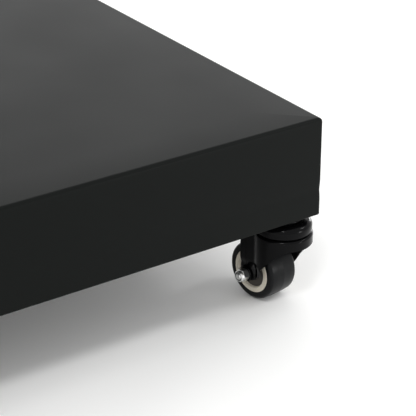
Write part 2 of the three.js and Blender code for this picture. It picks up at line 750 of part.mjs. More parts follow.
// Barrel socket for the mains adapter.
function powerInlet() {
  const [w, h] = INLET;
  const deep = backY + GAP + 2 - INLET_DEPTH;
  const flange = block(-w / 2 - 3, w / 2 + 3, backY + GAP, backY + GAP + 2, -h / 2 - 3, h / 2 + 3);
  const body = block(-w / 2, w / 2, deep, backY + GAP + 1, -h / 2, h / 2);
  const socket = rod(0, 0, -backY - 9, -deep - 2, INLET_R, 12).rotate([90, 0, 0]);
  const pin = rod(0, 0, -backY, -deep - 1, INLET_PIN_R, 8).rotate([90, 0, 0]);
  const inlet = cut(join(flange, body), socket).add(pin);
  return piece('power_inlet', inlet.translate([SIDE_FITTING_X, 0, FITTING_Z]), 'darkPlastic');
}

// Rocker pressed at its lower end, pivoting on X at the back face of the case.
function powerRocker() {
  const rocker = blockAt(0, 0, 0, ...ROCKER).rotate([-ROCKER_THROW, 0, 0]);
  return piece('power_rocker', rocker.translate([-SIDE_FITTING_X, backY, FITTING_Z]), 'darkPlastic');
}

function cableGland() {
  const neck = GLAND_R - 1;
  const gland = turned([
    [GLAND_BORE_R, -4],
    [neck, -4],
    [neck, GAP],
    [GLAND_R + 1.5, GAP],
    [GLAND_R + 1.5, 5],
    [neck, GLAND_L - 2],
    [GLAND_TIP_R, GLAND_L],
    [GLAND_BORE_R, GLAND_L],
    [GLAND_BORE_R, -4],
  ], 12).rotate([-90, 0, 0]);
  return piece('cable_gland', gland.translate([-SIDE_FITTING_X, backY, WINDOW_UP]), 'darkPlastic');
}

// A lobed hand knob whose shank goes through the arm and into the case.
function tiltKnob(name, side) {
  const start = IND_W / 2 + GAP + ARM_T + GAP;
  const shape = new THREE.Shape();
  const steps = 4 * KNOB_LOBES;
  for (let i = 0; i < steps; i += 1) {
    const a = (2 * Math.PI * i) / steps;
    const r = KNOB_R * (0.92 + 0.08 * Math.cos(KNOB_LOBES * a));
    shape[i ? 'lineTo' : 'moveTo'](r * Math.cos(a), r * Math.sin(a));
  }
  const lobes = slabYZ(shape, start + 3, start + KNOB_L);
  const boss = rod(0, 0, start, start + 4, 0.6 * KNOB_R, 16).rotate([0, 90, 0]);
  const shank = rod(0, 0, IND_W / 2 - 8, start + 4, KNOB_SHANK_R, 12).rotate([0, 90, 0]);
  const knob = join(lobes, boss, shank);
  return piece(name, side > 0 ? knob : knob.mirror([1, 0, 0]), 'darkPlastic');
}

function indicator() {
  const group = new THREE.Group();
  group.add(
    indicatorFront(),
    indicatorRear(),
    displayWindow(),
    displayModule(),
    keypad(),
    circuitBoard(),
    batteryPack(),
    batteryDoor(),
    powerInlet(),
    powerRocker(),
    cableGland(),
    tiltKnob('tilt_knob_right', 1),
    tiltKnob('tilt_knob_left', -1),
  );
  group.position.set(0, columnY, tiltZ);
  group.rotation.x = -tiltRad;
  return group;
}

// ---------------------------------------------------------------- the whole scale

const scale = new THREE.Group();
scale.add(
  ...castors(),
  baseFrame(),
  loadCell(),
  ...spacers(),
  loadFrame(),
  ...buffers(),
  ...overloadStops(),
  platformCover(),
  columnBracket(),
  columnTube(),
  spiritLevel(),
  headBracket(),
  indicator(),
);

// the origin is on the floor, under the middle of the whole scale
const extent = new THREE.Box3().setFromObject(scale, true);
scale.position.y = -(extent.min.y + extent.max.y) / 2;

export default scale;
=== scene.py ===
"""Looks of a mobile counting scale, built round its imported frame."""
import json
import math

import bmesh
import bpy
from bpy.props import FloatProperty, FloatVectorProperty, IntProperty, PointerProperty
from mathutils import Matrix, Vector


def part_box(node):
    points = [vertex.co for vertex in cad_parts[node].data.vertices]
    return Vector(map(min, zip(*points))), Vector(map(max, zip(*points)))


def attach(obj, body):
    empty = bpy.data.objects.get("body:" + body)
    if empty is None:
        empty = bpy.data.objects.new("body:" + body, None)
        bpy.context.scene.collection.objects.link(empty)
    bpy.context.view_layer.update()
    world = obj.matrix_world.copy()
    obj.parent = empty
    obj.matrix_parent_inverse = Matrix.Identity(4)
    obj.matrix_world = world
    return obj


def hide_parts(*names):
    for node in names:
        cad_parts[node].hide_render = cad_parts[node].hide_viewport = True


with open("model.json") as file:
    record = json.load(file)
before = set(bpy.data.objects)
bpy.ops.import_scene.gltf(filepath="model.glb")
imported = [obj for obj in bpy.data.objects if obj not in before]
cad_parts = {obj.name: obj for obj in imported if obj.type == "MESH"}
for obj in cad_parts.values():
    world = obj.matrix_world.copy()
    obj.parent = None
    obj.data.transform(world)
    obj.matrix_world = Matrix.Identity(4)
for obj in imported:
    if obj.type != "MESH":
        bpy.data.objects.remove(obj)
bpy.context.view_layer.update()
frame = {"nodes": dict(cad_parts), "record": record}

bl_info = {
    "name": "Counting Scale Looks",
    "version": (1, 0, 0),
    "blender": (4, 5, 0),
    "location": "View3D > Sidebar > Scale",
    "description": "Builds the visible pieces and materials of a mobile counting scale",
    "category": "Object",
}

MM = 0.001
JOINTS = {joint["name"]: joint for joint in frame["record"]["behaviour"]["joints"]}
CORNERS = ("front_right", "front_left", "rear_right", "rear_left")

# castor sizes in millimetres, in a frame whose Z is the swivel axis and whose wheel trails to +Y
WHEEL_R = 25.0
WHEEL_W = 28.4
TRAIL = 22.5
HUB_R = 18.5
RING_R = 14.2
CROWN_TOP = 67.3
CROWN_R = 23.8
FORK_WALL = 2.0
LEG_HALF = 20.5
LEG_STEP = 1.5
LEG_FLAT = 22.0
LEG_END_R = 6.2
CUP_R = 23.0
CUP_RIM = 68.6
CUP_TOP = 78.0
COLLAR_R = 12.6
NUT_AF = 10.0
NUT_SEAT = 19.3
WASHER = 1.2

# sides of the two frames' square tubes, and thickness of the strap that holds the indicator
BASE_TUBE = 30
LOAD_TUBE = 20
STRAP = 3.0

# indicator sizes in millimetres, in a frame on the tilt axis whose face looks to -Y
CASE = (250.0, 60.0, 150.0)
CASE_R = 12.0
CASE_WALL = 2.5
CASE_SPLIT = -8.0
REST_TILT = 30.0
ROCKER_OFF = 8.0
WINDOW = (206.0, 36.0)
WINDOW_UP = 42.0
KEYPAD = (222.0, 84.0)
KEYPAD_DOWN = 25.0
DOOR = (112.0, 68.0)
DOOR_UP = -14.0
SIDE_X = 92.0
FITTING_UP = -28.0


# ---------------------------------------------------------------- user settings

def colour(name, about, value):
    """A colour setting, given as an sRGB hex value."""
    kind = {"subtype": "COLOR", "size": 3, "min": 0, "max": 1}
    return FloatVectorProperty(name=name, description=about, default=linear(value)[:3], **kind)


def length(name, about, size):
    """A length setting, given in millimetres."""
    kind = {"subtype": "DISTANCE", "unit": "LENGTH"}
    return FloatProperty(name=name, description=about, default=size * MM, min=0, **kind)


def linear(hex_value):
    """An sRGB hex value as linear RGBA."""
    parts = [int(hex_value[i:i + 2], 16) / 255 for i in (1, 3, 5)]
    return tuple(c / 12.92 if c <= 0.04045 else ((c + 0.055) / 1.055) ** 2.4 for c in parts) + (1.0,)


class ScaleSizes(bpy.types.PropertyGroup):
    """Sizes of the fine detail that the frame doesn't hold."""
    bend_radius: length("Bend radius", "Outside radius of the cover's folded edge", 3.5)
    corner_radius: length("Corner radius", "Radius of the cover's ground and painted corners", 2.0)
    sheet: length("Sheet", "Thickness of the cover's sheet", 2.0)
    tube_edge: length("Tube edge", "Radius of the frames' square tube", 2.4)
    peel: length("Orange peel", "Width of the ripples in the powder coat", 2.2)
    smooth: IntProperty(name="Segments", description="Segments round a turned piece", default=96, min=24)


class ScaleColours(bpy.types.PropertyGroup):
    """Colours of the main finishes."""
    powder: colour("Powder coat", "Black powder coat on the cover and column", "#101211")
    frames: colour("Frame paint", "Paint on the frames", "#1c1e20")
    castor: colour("Castor coat", "Black coat on the castors' pressed steel", "#060607")
    tyre: colour("Tyre", "Rubber of the tyres", "#0f1011")
    hub: colour("Hub", "Nylon of the wheel hubs", "#d3ccbd")
    case: colour("Case", "Moulded case of the indicator", "#b3b6b3")
    keys: colour("Keys", "Printed keys of the membrane", "#c9cccd")


# ---------------------------------------------------------------- meshes

def rounded_loop(half_w, half_d, radius, steps=6):
    """Points of a rounded rectangle about the origin, anticlockwise."""
    radius = max(radius, 0.01)
    points = []
    for quarter, (sx, sy) in enumerate(((1, 1), (-1, 1), (-1, -1), (1, -1))):
        for k in range(steps + 1):
            a = math.radians(90 * (quarter + k / steps))
            x = sx * (half_w - radius) + radius * math.cos(a)
            points.append((x, sy * (half_d - radius) + radius * math.sin(a)))
    return points


def arc(centre, radius, start, end, steps=6):
    """Points of an arc in degrees, both ends included."""
    angles = [math.radians(start + (end - start) * k / steps) for k in range(steps + 1)]
    return [(centre[0] + radius * math.cos(a), centre[1] + radius * math.sin(a)) for a in angles]


def skin(rings, caps=True, loop=False, wrap=True):
    """A bmesh skinned over rings that all have as many points; a loop joins the last ring to the first."""
    bm = bmesh.new()
    rows = [[bm.verts.new(point) for point in ring] for ring in rings]
    count = len(rows[0])
    pairs = list(zip(rows, rows[1:] + rows[:1])) if loop else list(zip(rows, rows[1:]))
    for low, high in pairs:
        for i in range(count if wrap else count - 1):
            j = (i + 1) % count
            bm.faces.new((low[i], low[j], high[j], high[i]))
    if caps and not loop:
        bm.faces.new(rows[0][::-1])
        bm.faces.new(rows[-1])
    return bm


def tray(outer, inner):
    """An open tray: each list of rings runs from the tray's rim to its floor."""
    walls = [skin(rings, caps=False) for rings in (outer, inner)]
    rim = skin([outer[0], inner[0]], caps=False)
    floors = bmesh.new()
    for ring in (outer[-1], inner[-1]):
        floors.faces.new([floors.verts.new(point) for point in ring])
    return merged(*walls, rim, floors)


def circle(radius, height, count=96):
    """A ring of points about Z. Its radius is a number, or a function of the angle."""
    points = []
    for i in range(count):
        a = 2 * math.pi * i / count
        reach = radius(a) if callable(radius) else radius
        points.append((reach * math.cos(a), reach * math.sin(a), height))
    return points


def turned(profile, segments=96, loop=False):
    """A solid of revolution about Z. Points are (radius, height); a loop's profile closes on itself."""
    return skin([circle(radius, height, segments) for radius, height in profile], loop=loop)


def block(lo, hi, radius=0.0, segments=3):
    """A box from its lowest corner to its highest, with rounded edges."""
    bm = bmesh.new()
    bmesh.ops.create_cube(bm, size=1)
    size = Vector(hi) - Vector(lo)
    middle = (Vector(hi) + Vector(lo)) / 2
    bmesh.ops.transform(bm, verts=bm.verts, matrix=Matrix.Translation(middle) @ Matrix.Diagonal((*size, 1)))
    if radius:
        bmesh.ops.bevel(bm, geom=bm.edges, offset=radius, segments=segments, profile=0.5, affect="EDGES")
    return bm


def plate(half_w, half_d, z0, z1, corner, edge, steps=6):
    """A plate with rounded corners, standing from z0 to z1, whose upper edge is rounded."""
    rings = [[(x, y, z0) for x, y in rounded_loop(half_w, half_d, corner, steps)]]
    for inset, up in arc((edge, z1 - edge), edge, 180, 90, 4):
        loop = rounded_loop(half_w - inset, half_d - inset, corner - inset, steps)
        rings.append([(x, y, up) for x, y in loop])
    return skin(rings)


def slab(outline, thickness):
    """A flat outline of (x, y) points as a plate from z = 0 up to its thickness."""
    return skin([[(x, y, z) for x, y in outline] for z in (0, thickness)])


def merged(*parts):
    """Several bmeshes as one."""
    whole = bmesh.new()
    for part in parts:
        mesh = bpy.data.meshes.new("part")
        part.to_mesh(mesh)
        part.free()
        whole.from_mesh(mesh)
        bpy.data.meshes.remove(mesh)
    return whole


def moved(bm, *matrices):
    """The bmesh, put through the matrices from the last to the first."""
    for matrix in reversed(matrices):
        bmesh.ops.transform(bm, verts=bm.verts, matrix=matrix)
    return bm


def shift(x=0, y=0, z=0):
    return Matrix.Translation((x, y, z))


def turn(degrees, axis):
    return Matrix.Rotation(math.radians(degrees), 4, axis)


def make(name, bm, material, place=Matrix.Identity(4), sharp=38):
    """An object in metres from a bmesh in millimetres, put through place, which is in metres."""
    bmesh.ops.remove_doubles(bm, verts=bm.verts, dist=1e-4)
    bmesh.ops.recalc_face_normals(bm, faces=bm.faces)
    bmesh.ops.transform(bm, verts=bm.verts, matrix=place @ Matrix.Scale(MM, 4))
    mesh = bpy.data.meshes.new(name)
    bm.to_mesh(mesh)
    bm.free()
    mesh.polygons.foreach_set("use_smooth", [True] * len(mesh.polygons))
    mesh.set_sharp_from_angle(angle=math.radians(sharp))
    obj = bpy.data.objects.new(name, mesh)
    bpy.context.scene.collection.objects.link(obj)
    mesh.materials.append(material)
    return obj


def settle(obj, name=None):
    """Turns the evaluated object into a plain mesh and drops its modifiers."""
    graph = bpy.context.evaluated_depsgraph_get()
    mesh = bpy.data.meshes.new_from_object(obj.evaluated_get(graph))
    obj.modifiers.clear()
    obj.data = mesh
    if name:
        obj.name = name
    return obj


def combine(obj, others, operation):
    """Cuts other objects out of one, or joins them to it, and removes them."""
    for other in others:
        modifier = obj.modifiers.new("combine", "BOOLEAN")
        modifier.object = other
        modifier.operation = operation
        modifier.solver = "EXACT"
    settle(obj)
    for other in others:
        bpy.data.objects.remove(other)


def carve(obj, *cutters):
    """Cuts other objects out of one and shades it afresh."""
    combine(obj, cutters, "DIFFERENCE")
    obj.data.polygons.foreach_set("use_smooth", [True] * len(obj.data.polygons))
    obj.data.set_sharp_from_angle(angle=math.radians(30))
    return obj


def round_edges(obj, width, segments=3, angle=50):
    """Rounds an object's sharp edges, by a width in millimetres."""
    bevel = obj.modifiers.new("edge", "BEVEL")
    bevel.width = width * MM
    bevel.segments = segments
    bevel.limit_method = "ANGLE"
    bevel.angle_limit = math.radians(angle)
    bevel.harden_normals = True
    settle(obj)
    return obj


def refined(node, material, width, angle=50):
    """A merged copy of a frame node with rounded edges, which stands for it."""
    bm = bmesh.new()
    bm.from_mesh(frame["nodes"][node].data)
    bmesh.ops.transform(bm, verts=bm.verts, matrix=Matrix.Scale(1 / MM, 4))
    bmesh.ops.remove_doubles(bm, verts=bm.verts, dist=1e-3)
    bmesh.ops.dissolve_limit(bm, angle_limit=math.radians(1), verts=bm.verts, edges=bm.edges)
    return round_edges(make(node + "_finished", bm, material), width, angle=angle)


def finished(node, body, slot, width):
    """Declares a frame node's own shape, with its edges rounded."""
    declare(refined(node, finish(slot), width), body, slot, node)


def declare(obj, body, slot, *nodes):
    """Rides a piece on its body and hides the nodes that it stands for; its slot is not used."""
    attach(obj, body)
    if nodes:
        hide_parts(*nodes)


def piece(name, bm, place, body, slot, *nodes, look=None):
    """Makes and declares a piece. Its finish is its slot's, unless another look is named."""
    declare(make(name, bm, finish(look or slot), place), body, slot, *nodes)


def foot_of(node):
    """The middle of a node's foot as a place, and its half width, half depth and height in millimetres."""
    low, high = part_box(node)
    half_w, half_d, half_h = ((b - a) / 2 / MM for a, b in zip(low, high))
    return shift((low[0] + high[0]) / 2, (low[1] + high[1]) / 2, low[2]), half_w, half_d, 2 * half_h


# ---------------------------------------------------------------- materials

def add(tree, kind, inputs=None, **settings):
    """Adds a node, applies its settings, and sets or links its inputs."""
    node = tree.nodes.new(kind)
    for name, value in settings.items():
        setattr(node, name, value)
    for name, value in (inputs or {}).items():
        if isinstance(value, bpy.types.NodeSocket):
            tree.links.new(value, node.inputs[name])
        else:
            node.inputs[name].default_value = value
    return node


def shade(base, factor):
    return tuple(min(1.0, c * factor) for c in base[:3])


class Surface:
    """A new material, with its shader and its object coordinates, and ways to vary it."""

    def __init__(self, name, base, **shader):
        self.material = bpy.data.materials.new(name)
        self.material.use_nodes = True
        self.tree = self.material.node_tree
        self.sockets = self.tree.nodes["Principled BSDF"].inputs
        self.place = self.add("ShaderNodeTexCoord").outputs["Object"]
        self.set(Base_Color=(*base[:3], 1), **shader)

    def set(self, **shader):
        for socket, value in shader.items():
            self.sockets[socket.replace("_", " ")].default_value = value

    def add(self, kind, inputs=None, **settings):
        return add(self.tree, kind, inputs, **settings)

    def noise(self, width, detail=3.0, place=None, **inputs):
        """Noise whose features are about width millimetres across, as a factor."""
        inputs = {"Vector": place or self.place, "Scale": 1 / (width * MM), "Detail": detail, **inputs}
        return self.add("ShaderNodeTexNoise", inputs).outputs["Fac"]

    def rough(self, factor, low, high):
        """Drives the roughness from low to high by a factor."""
        spread = self.add("ShaderNodeMapRange", {"Value": factor, "To Min": low, "To Max": high})
        self.tree.links.new(spread.outputs["Result"], self.sockets["Roughness"])

    def tint(self, factor, dark, light):
        """Mixes the colour from dark to light by a factor."""
        mix = self.add("ShaderNodeMix", {"Factor": factor}, data_type="RGBA")
        for socket, shade_of in ((6, dark), (7, light)):
            mix.inputs[socket].default_value = (*shade_of[:3], 1)
        self.tree.links.new(mix.outputs[2], self.sockets["Base Color"])

    def relief(self, height, depth, strength=1.0, under=None):
        """Bumps the surface by a height from 0 to 1, as deep as depth in millimetres."""
        inputs = {"Height": height, "Distance": depth * MM, "Strength": strength}
        if under:
            inputs["Normal"] = under
        bump = self.add("ShaderNodeBump", inputs).outputs["Normal"]
        self.tree.links.new(bump, self.sockets["Normal"])
        return bump


def powder_coat(name, base, peel):
    """Polyester powder coat, sprayed and baked: satin, with a shallow orange peel and a fine grain."""
    look = Surface(name, base, Roughness=0.42, Specular_IOR_Level=0.06)
    ripple = look.noise(peel, detail=2.0)
    grain = look.noise(0.7, detail=4.0)
    broad = look.noise(90, detail=2.0)
    look.rough(broad, 0.38, 0.47)
    look.tint(grain, shade(base, 0.82), shade(base, 1.2))
    coarse = look.relief(ripple, 0.05, 0.5)
    look.relief(grain, 0.03, 0.55, coarse)
    return look.material


def gloss_coat(name, base):
    """Electrophoretic coat on pressed steel: thin, glossy, with the faint waves of the press."""
    look = Surface(name, base, Roughness=0.2, Specular_IOR_Level=0.09)
    wave = look.noise(9, detail=1.5)
    smear = look.noise(2.4, detail=4.0)
    look.rough(smear, 0.1, 0.24)
    look.relief(wave, 0.12, 0.35)
    return look.material


def zinc_plate():
    """Bright zinc on steel: silvery, with a faint blue and yellow bloom from its passivation."""
    look = Surface("zinc plate", linear("#e4e6e7"), Metallic=1.0, Roughness=0.3)
    bloom = look.noise(3.5, detail=2.0)
    look.tint(bloom, linear("#dbdfe5"), linear("#efece4"))
    look.rough(look.noise(0.8), 0.24, 0.42)
    return look.material


def ground_steel():
    """Ground carbon steel: grey, with fine straight grinding marks."""
    look = Surface("ground steel", linear("#8b8f94"), Metallic=1.0, Roughness=0.34)
    stretch = look.add("ShaderNodeMapping", {"Vector": look.place, "Scale": (0.05, 1.0, 1.0)})
    marks = look.noise(0.5, detail=5.0, place=stretch.outputs["Vector"])
    look.rough(marks, 0.25, 0.45)
    look.relief(marks, 0.01, 0.5)
    return look.material


def anodised_aluminium():
    """Milled and clear anodised aluminium: soft silver with cutter lines across it."""
    look = Surface("anodised aluminium", linear("#b9bdc0"), Metallic=1.0, Roughness=0.38)
    cutter = {"Vector": look.place, "Scale": 90.0, "Distortion": 0.4}
    lines = look.add("ShaderNodeTexWave", cutter, bands_direction="Y")
    look.relief(lines.outputs["Fac"], 0.01, 0.4)
    look.rough(look.noise(6), 0.32, 0.46)
    return look.material


def tyre_rubber(base):
    """Moulded rubber tread: satin black, a little scuffed and dusty where it rolls."""
    look = Surface("tyre rubber", base, Roughness=0.42, Specular_IOR_Level=0.12)
    scuff = look.noise(1.6, detail=6.0, Roughness=0.7)
    dust = look.noise(14, detail=3.0)
    look.rough(dust, 0.26, 0.42)
    look.tint(scuff, shade(base, 0.75), shade(base, 1.4))
    look.relief(scuff, 0.05, 0.4)
    return look.material


def soft_rubber():
    """Moulded nitrile rubber: matt black."""
    base = linear("#191a1a")
    look = Surface("nitrile rubber", base, Roughness=0.75, Specular_IOR_Level=0.3)
    pores = look.noise(0.9, detail=4.0)
    look.tint(pores, shade(base, 0.8), shade(base, 1.4))
    look.relief(pores, 0.04, 0.5)
    return look.material


def nylon(base):
    """Moulded nylon: semi-matt, slightly waxy, so light sinks in a little."""
    look = Surface("moulded nylon", base, Roughness=0.42, Subsurface_Weight=0.08)
    look.set(Subsurface_Radius=(0.004, 0.003, 0.002), Subsurface_Scale=0.3)
    stain = look.noise(5, detail=4.0)
    look.tint(stain, shade(base, 0.86), shade(base, 1.05))
    look.relief(look.noise(0.8), 0.02, 0.4)
    return look.material


def moulded_plastic(name, base, roughness=0.48, spark=0.55):
    """Injection-moulded ABS from a spark-eroded tool: an even, fine pebbled texture."""
    look = Surface(name, base, Roughness=roughness, Specular_IOR_Level=0.45)
    texture = {"Vector": look.place, "Scale": 1 / (spark * MM)}
    pebble = look.add("ShaderNodeTexVoronoi", texture, feature="SMOOTH_F1")
    look.tint(look.noise(40, detail=2.0), shade(base, 0.96), shade(base, 1.03))
    look.rough(look.noise(12), roughness - 0.05, roughness + 0.06)
    look.relief(pebble.outputs["Distance"], 0.02, 0.35)
    return look.material


def smoked_acrylic():
    """Cast acrylic lens: clear and glossy, tinted grey, with a hard scratch-resistant face."""
    look = Surface("smoked acrylic", linear("#23282a"), Roughness=0.04, IOR=1.49, Alpha=0.24)
    look.rough(look.noise(18), 0.03, 0.07)
    look.relief(look.noise(30), 0.02, 0.2)
    return look.material


def liquid_crystal():
    """Liquid crystal behind its polariser: grey-green, faintly lit from behind, with a fine grain."""
    base = linear("#a9b795")
    look = Surface("liquid crystal glass", base, Roughness=0.22, Coat_Weight=0.4)
    look.set(Emission_Color=linear("#b7c79e"), Emission_Strength=0.3)
    look.tint(look.noise(1.2, detail=5.0), shade(base, 0.93), shade(base, 1.06))
    look.rough(look.noise(8), 0.18, 0.28)
    return look.material


def printed_film(name, base):
    """Polyester film printed on its back: an even, fine-grained satin face."""
    look = Surface(name, base, Roughness=0.4, Specular_IOR_Level=0.45)
    grain = look.noise(0.6, detail=4.0)
    look.tint(look.noise(25), shade(base, 0.95), shade(base, 1.05))
    look.rough(grain, 0.34, 0.48)
    look.relief(grain, 0.01, 0.4)
    return look.material


def solder_mask():
    """Green solder mask over copper: darker where no track runs beneath it."""
    look = Surface("solder mask", linear("#1f5a38"), Roughness=0.3, Coat_Weight=0.3)
    tracks = look.add("ShaderNodeTexBrick", {"Vector": look.place, "Scale": 160.0, "Mortar Size": 0.03})
    look.tint(tracks.outputs["Fac"], linear("#1c5233"), linear("#2f7a4c"))
    look.relief(tracks.outputs["Fac"], 0.03, 0.5)
    return look.material


def level_fluid():
    """Clear acrylic vial of tinted spirit: yellow-green, glossy, with light passing through."""
    look = Surface("level fluid", linear("#c6dd3c"), Roughness=0.05, IOR=1.4)
    look.set(Transmission_Weight=0.6)
    look.tint(look.noise(4), linear("#b9d22f"), linear("#d4e85a"))
    return look.material


def pale_floor():
    """Matt studio paper."""
    look = Surface("studio paper", linear("#fbfbfa"), Roughness=0.85)
    look.relief(look.noise(4), 0.02, 0.1)
    return look.material


MAKERS = {
    "black_powder_coat": lambda s, c: powder_coat("black powder coat", c.powder, s.peel / MM),
    "frame_paint": lambda s, c: powder_coat("frame paint", c.frames, 1.2 * s.peel / MM),
    "castor_black": lambda s, c: gloss_coat("castor electrocoat", c.castor),
    "zinc_plate": lambda s, c: zinc_plate(),
    "bare_steel": lambda s, c: ground_steel(),
    "load_cell_aluminium": lambda s, c: anodised_aluminium(),
    "black_rubber": lambda s, c: soft_rubber(),
    "tyre_rubber": lambda s, c: tyre_rubber(c.tyre),
    "cream_nylon": lambda s, c: nylon(c.hub),
    "hub_guard": lambda s, c: moulded_plastic("thread guard", linear("#38342f"), 0.6),
    "light_grey_abs": lambda s, c: moulded_plastic("moulded ABS", c.case),
    "dark_grey_plastic": lambda s, c: moulded_plastic("glass-filled nylon", linear("#232527"), 0.5),
    "display_lens": lambda s, c: smoked_acrylic(),
    "lcd_glass": lambda s, c: liquid_crystal(),
    "lcd_ink": lambda s, c: printed_film("liquid crystal segments", linear("#20251f")),
    "membrane_film": lambda s, c: printed_film("printed polyester", linear("#46505c")),
    "key_print": lambda s, c: printed_film("printed key", c.keys),
    "key_green": lambda s, c: printed_film("printed green key", linear("#3f8a5c")),
    "key_red": lambda s, c: printed_film("printed red key", linear("#b54a3f")),
    "key_figure": lambda s, c: printed_film("key figure ink", linear("#1d2126")),
    "circuit_board_green": lambda s, c: solder_mask(),
    "battery_case": lambda s, c: moulded_plastic("battery case", linear("#3a4652"), 0.5),
    "level_liquid": lambda s, c: level_fluid(),
    "studio_paper": lambda s, c: pale_floor(),
}
FINISHES = {}


def finish(slot):
    """The material of a slot, made when it is first asked for."""
    if slot not in FINISHES:
        scene = bpy.context.scene
        FINISHES[slot] = MAKERS[slot](scene.scale_sizes, scene.scale_colours)
    return FINISHES[slot]


# ---------------------------------------------------------------- repeated pieces by geometry nodes

def repeater():
    """A tree that puts a copy of one object on every point, turned and sized, as real mesh."""
    if "copies on points" in bpy.data.node_groups:
        return bpy.data.node_groups["copies on points"]
    tree = bpy.data.node_groups.new("copies on points", "GeometryNodeTree")
    kinds = {"Points": "Geometry", "Copy": "Object", "Turn": "Rotation", "Size": "Float"}
    for name, kind in {**kinds, "Finish": "Material"}.items():
        tree.interface.new_socket(name, in_out="INPUT", socket_type="NodeSocket" + kind)
    tree.interface.new_socket("Copies", in_out="OUTPUT", socket_type="NodeSocketGeometry")
    given = add(tree, "NodeGroupInput").outputs
    source = add(tree, "GeometryNodeObjectInfo", {"Object": given["Copy"]})
    points = add(tree, "GeometryNodeMeshToPoints", {"Mesh": given["Points"]})
    copies = add(tree, "GeometryNodeInstanceOnPoints", {
        "Points": points.outputs["Points"],
        "Instance": source.outputs["Geometry"],
        "Rotation": given["Turn"],
        "Scale": given["Size"],
    })
    real = add(tree, "GeometryNodeRealizeInstances", {"Geometry": copies.outputs["Instances"]})
    painted = add(tree, "GeometryNodeSetMaterial", {
        "Geometry": real.outputs["Geometry"],
        "Material": given["Finish"],
    })
    add(tree, "NodeGroupOutput", {"Copies": painted.outputs["Geometry"]})
    return tree


def repeat(name, bm, points, body, slot, direction=(0, 0, 1), size=1.0, look=None):
    """Copies of a small shape, made in millimetres about Z, at points in metres, as one declared piece."""
    material = finish(look or slot)
    pattern = make(name + "_pattern", bm, material)
    mesh = bpy.data.meshes.new(name)
    mesh.from_pydata([tuple(point) for point in points], [], [])
    obj = bpy.data.objects.new(name, mesh)
    bpy.context.scene.collection.objects.link(obj)
    modifier = obj.modifiers.new("copies", "NODES")
    modifier.node_group = repeater()
    values = {
        "Copy": pattern,
        "Turn": Vector(direction).to_track_quat("Z", "Y").to_euler(),
        "Size": size,
        "Finish": material,
    }
    for item in modifier.node_group.interface.items_tree:
        if item.name in values:
            modifier[item.identifier] = values[item.name]
    settle(obj)
    bpy.data.objects.remove(pattern)
    declare(obj, body, slot)


def socket_screw(radius=5.0, height=6.0):
    """Head of a socket screw: a knurl-free cylinder with a hexagon socket."""
    edge = 0.12 * radius
    hexagon = hex_radius(0.52 * radius)
    outline = rounded_loop(radius, radius, radius, 8)
    count = len(outline)
    steps = ((1, 0), (1, height - edge), (1 - edge / radius, height))
    rings = [[(x * share, y * share, up) for x, y in outline] for share, up in steps]
    rings.append(circle(lambda a: 1.06 * hexagon(a), height, count))
    return skin(rings + [circle(hexagon, up, count) for up in (height - 0.3, 0.45 * height)])


def hex_radius(apothem):
    """The radius of a hexagon at an angle, as a function."""
    return lambda a: apothem / math.cos((a + math.pi / 6) % (math.pi / 3) - math.pi / 6)


def hex_nut(across, height, hole):
    """A nut from z = 0, its corners chamfered at both ends."""
    apothem = across / 2
    crown = 0.96 * apothem
    hexagon = hex_radius(apothem)

    def chamfered(end, side):
        points = circle(hexagon, end)
        return [(x, y, z - side * 0.5 * max(0.0, math.hypot(x, y) - crown)) for x, y, z in points]

    low = [circle(hole, 0.3), circle(hole + 0.3, 0), circle(crown, 0), chamfered(0, -1)]
    high = [chamfered(height, 1), circle(crown, height), circle(hole + 0.4, height)]
    return skin(low + high + [circle(hole, height - 0.4)], loop=True)


# ---------------------------------------------------------------- stage

def aim(obj, location, target):
    obj.location = location
    obj.rotation_euler = (Vector(target) - Vector(location)).to_track_quat("-Z", "Y").to_euler()


def soft_box(name, location, target, size, power):
    """A square area light, turned towards its target."""
    light = bpy.data.lights.new(name, "AREA")
    light.shape = "SQUARE"
    light.size = size
    light.energy = power
    obj = bpy.data.objects.new(name, light)
    bpy.context.scene.collection.objects.link(obj)
    aim(obj, location, target)


class SCALE_OT_stage(bpy.types.Operator):
    """Sets the camera, the studio light and the pale floor"""
    bl_idname = "scale.stage"
    bl_label = "Stage"

    def execute(self, context):
        self.camera(context.scene)
        self.floor()
        self.light(context.scene)
        return {"FINISHED"}

    def camera(self, scene):
        low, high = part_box("platform_cover")
        corner = Vector((high[0], low[1], low[2]))
        heading, pitch = math.radians(55.82), math.radians(-26.58)
        level = math.cos(pitch)
        view = Vector((level * math.cos(heading), level * math.sin(heading), math.sin(pitch)))
        camera = bpy.data.objects.new("camera", bpy.data.cameras.new("camera"))
        camera.data.lens = 133.2
        camera.data.sensor_width = 36
        camera.data.clip_end = 50
        scene.collection.objects.link(camera)
        place = corner + Vector((-0.68763, -0.85393, 0.55231))
        aim(camera, place, place + view)
        scene.camera = camera

    def floor(self):
        bm = bmesh.new()
        bmesh.ops.create_grid(bm, x_segments=2, y_segments=2, size=6000)
        make("floor", bm, finish("studio_paper"))

    def light(self, scene):
        scene.view_settings.view_transform = "Standard"
        world = bpy.data.worlds.new("studio")
        world.use_nodes = True
        sky = world.node_tree.nodes["Background"].inputs
        sky["Color"].default_value = (1, 1, 1, 1)
        sky["Strength"].default_value = 1.02
        scene.world = world
        soft_box("back", (2.2, 3.0, 1.9), (0.1, -0.1, 0.1), 2.6, 24)
        soft_box("key", (-0.61, -1.22, 1.9), (0.22, -0.3, 0.05), 0.32, 9)
        soft_box("front", (1.68, -1.07, 1.47), (0.23, -0.3, 0.06), 0.32, 5)
        soft_box("side", (2.4, 0.75, 0.35), (0.23, -0.3, 0.07), 0.6, 12)
        soft_box("low", (1.05, -1.72, 0.24), (0.23, -0.3, 0.08), 0.26, 4)


# ---------------------------------------------------------------- platform

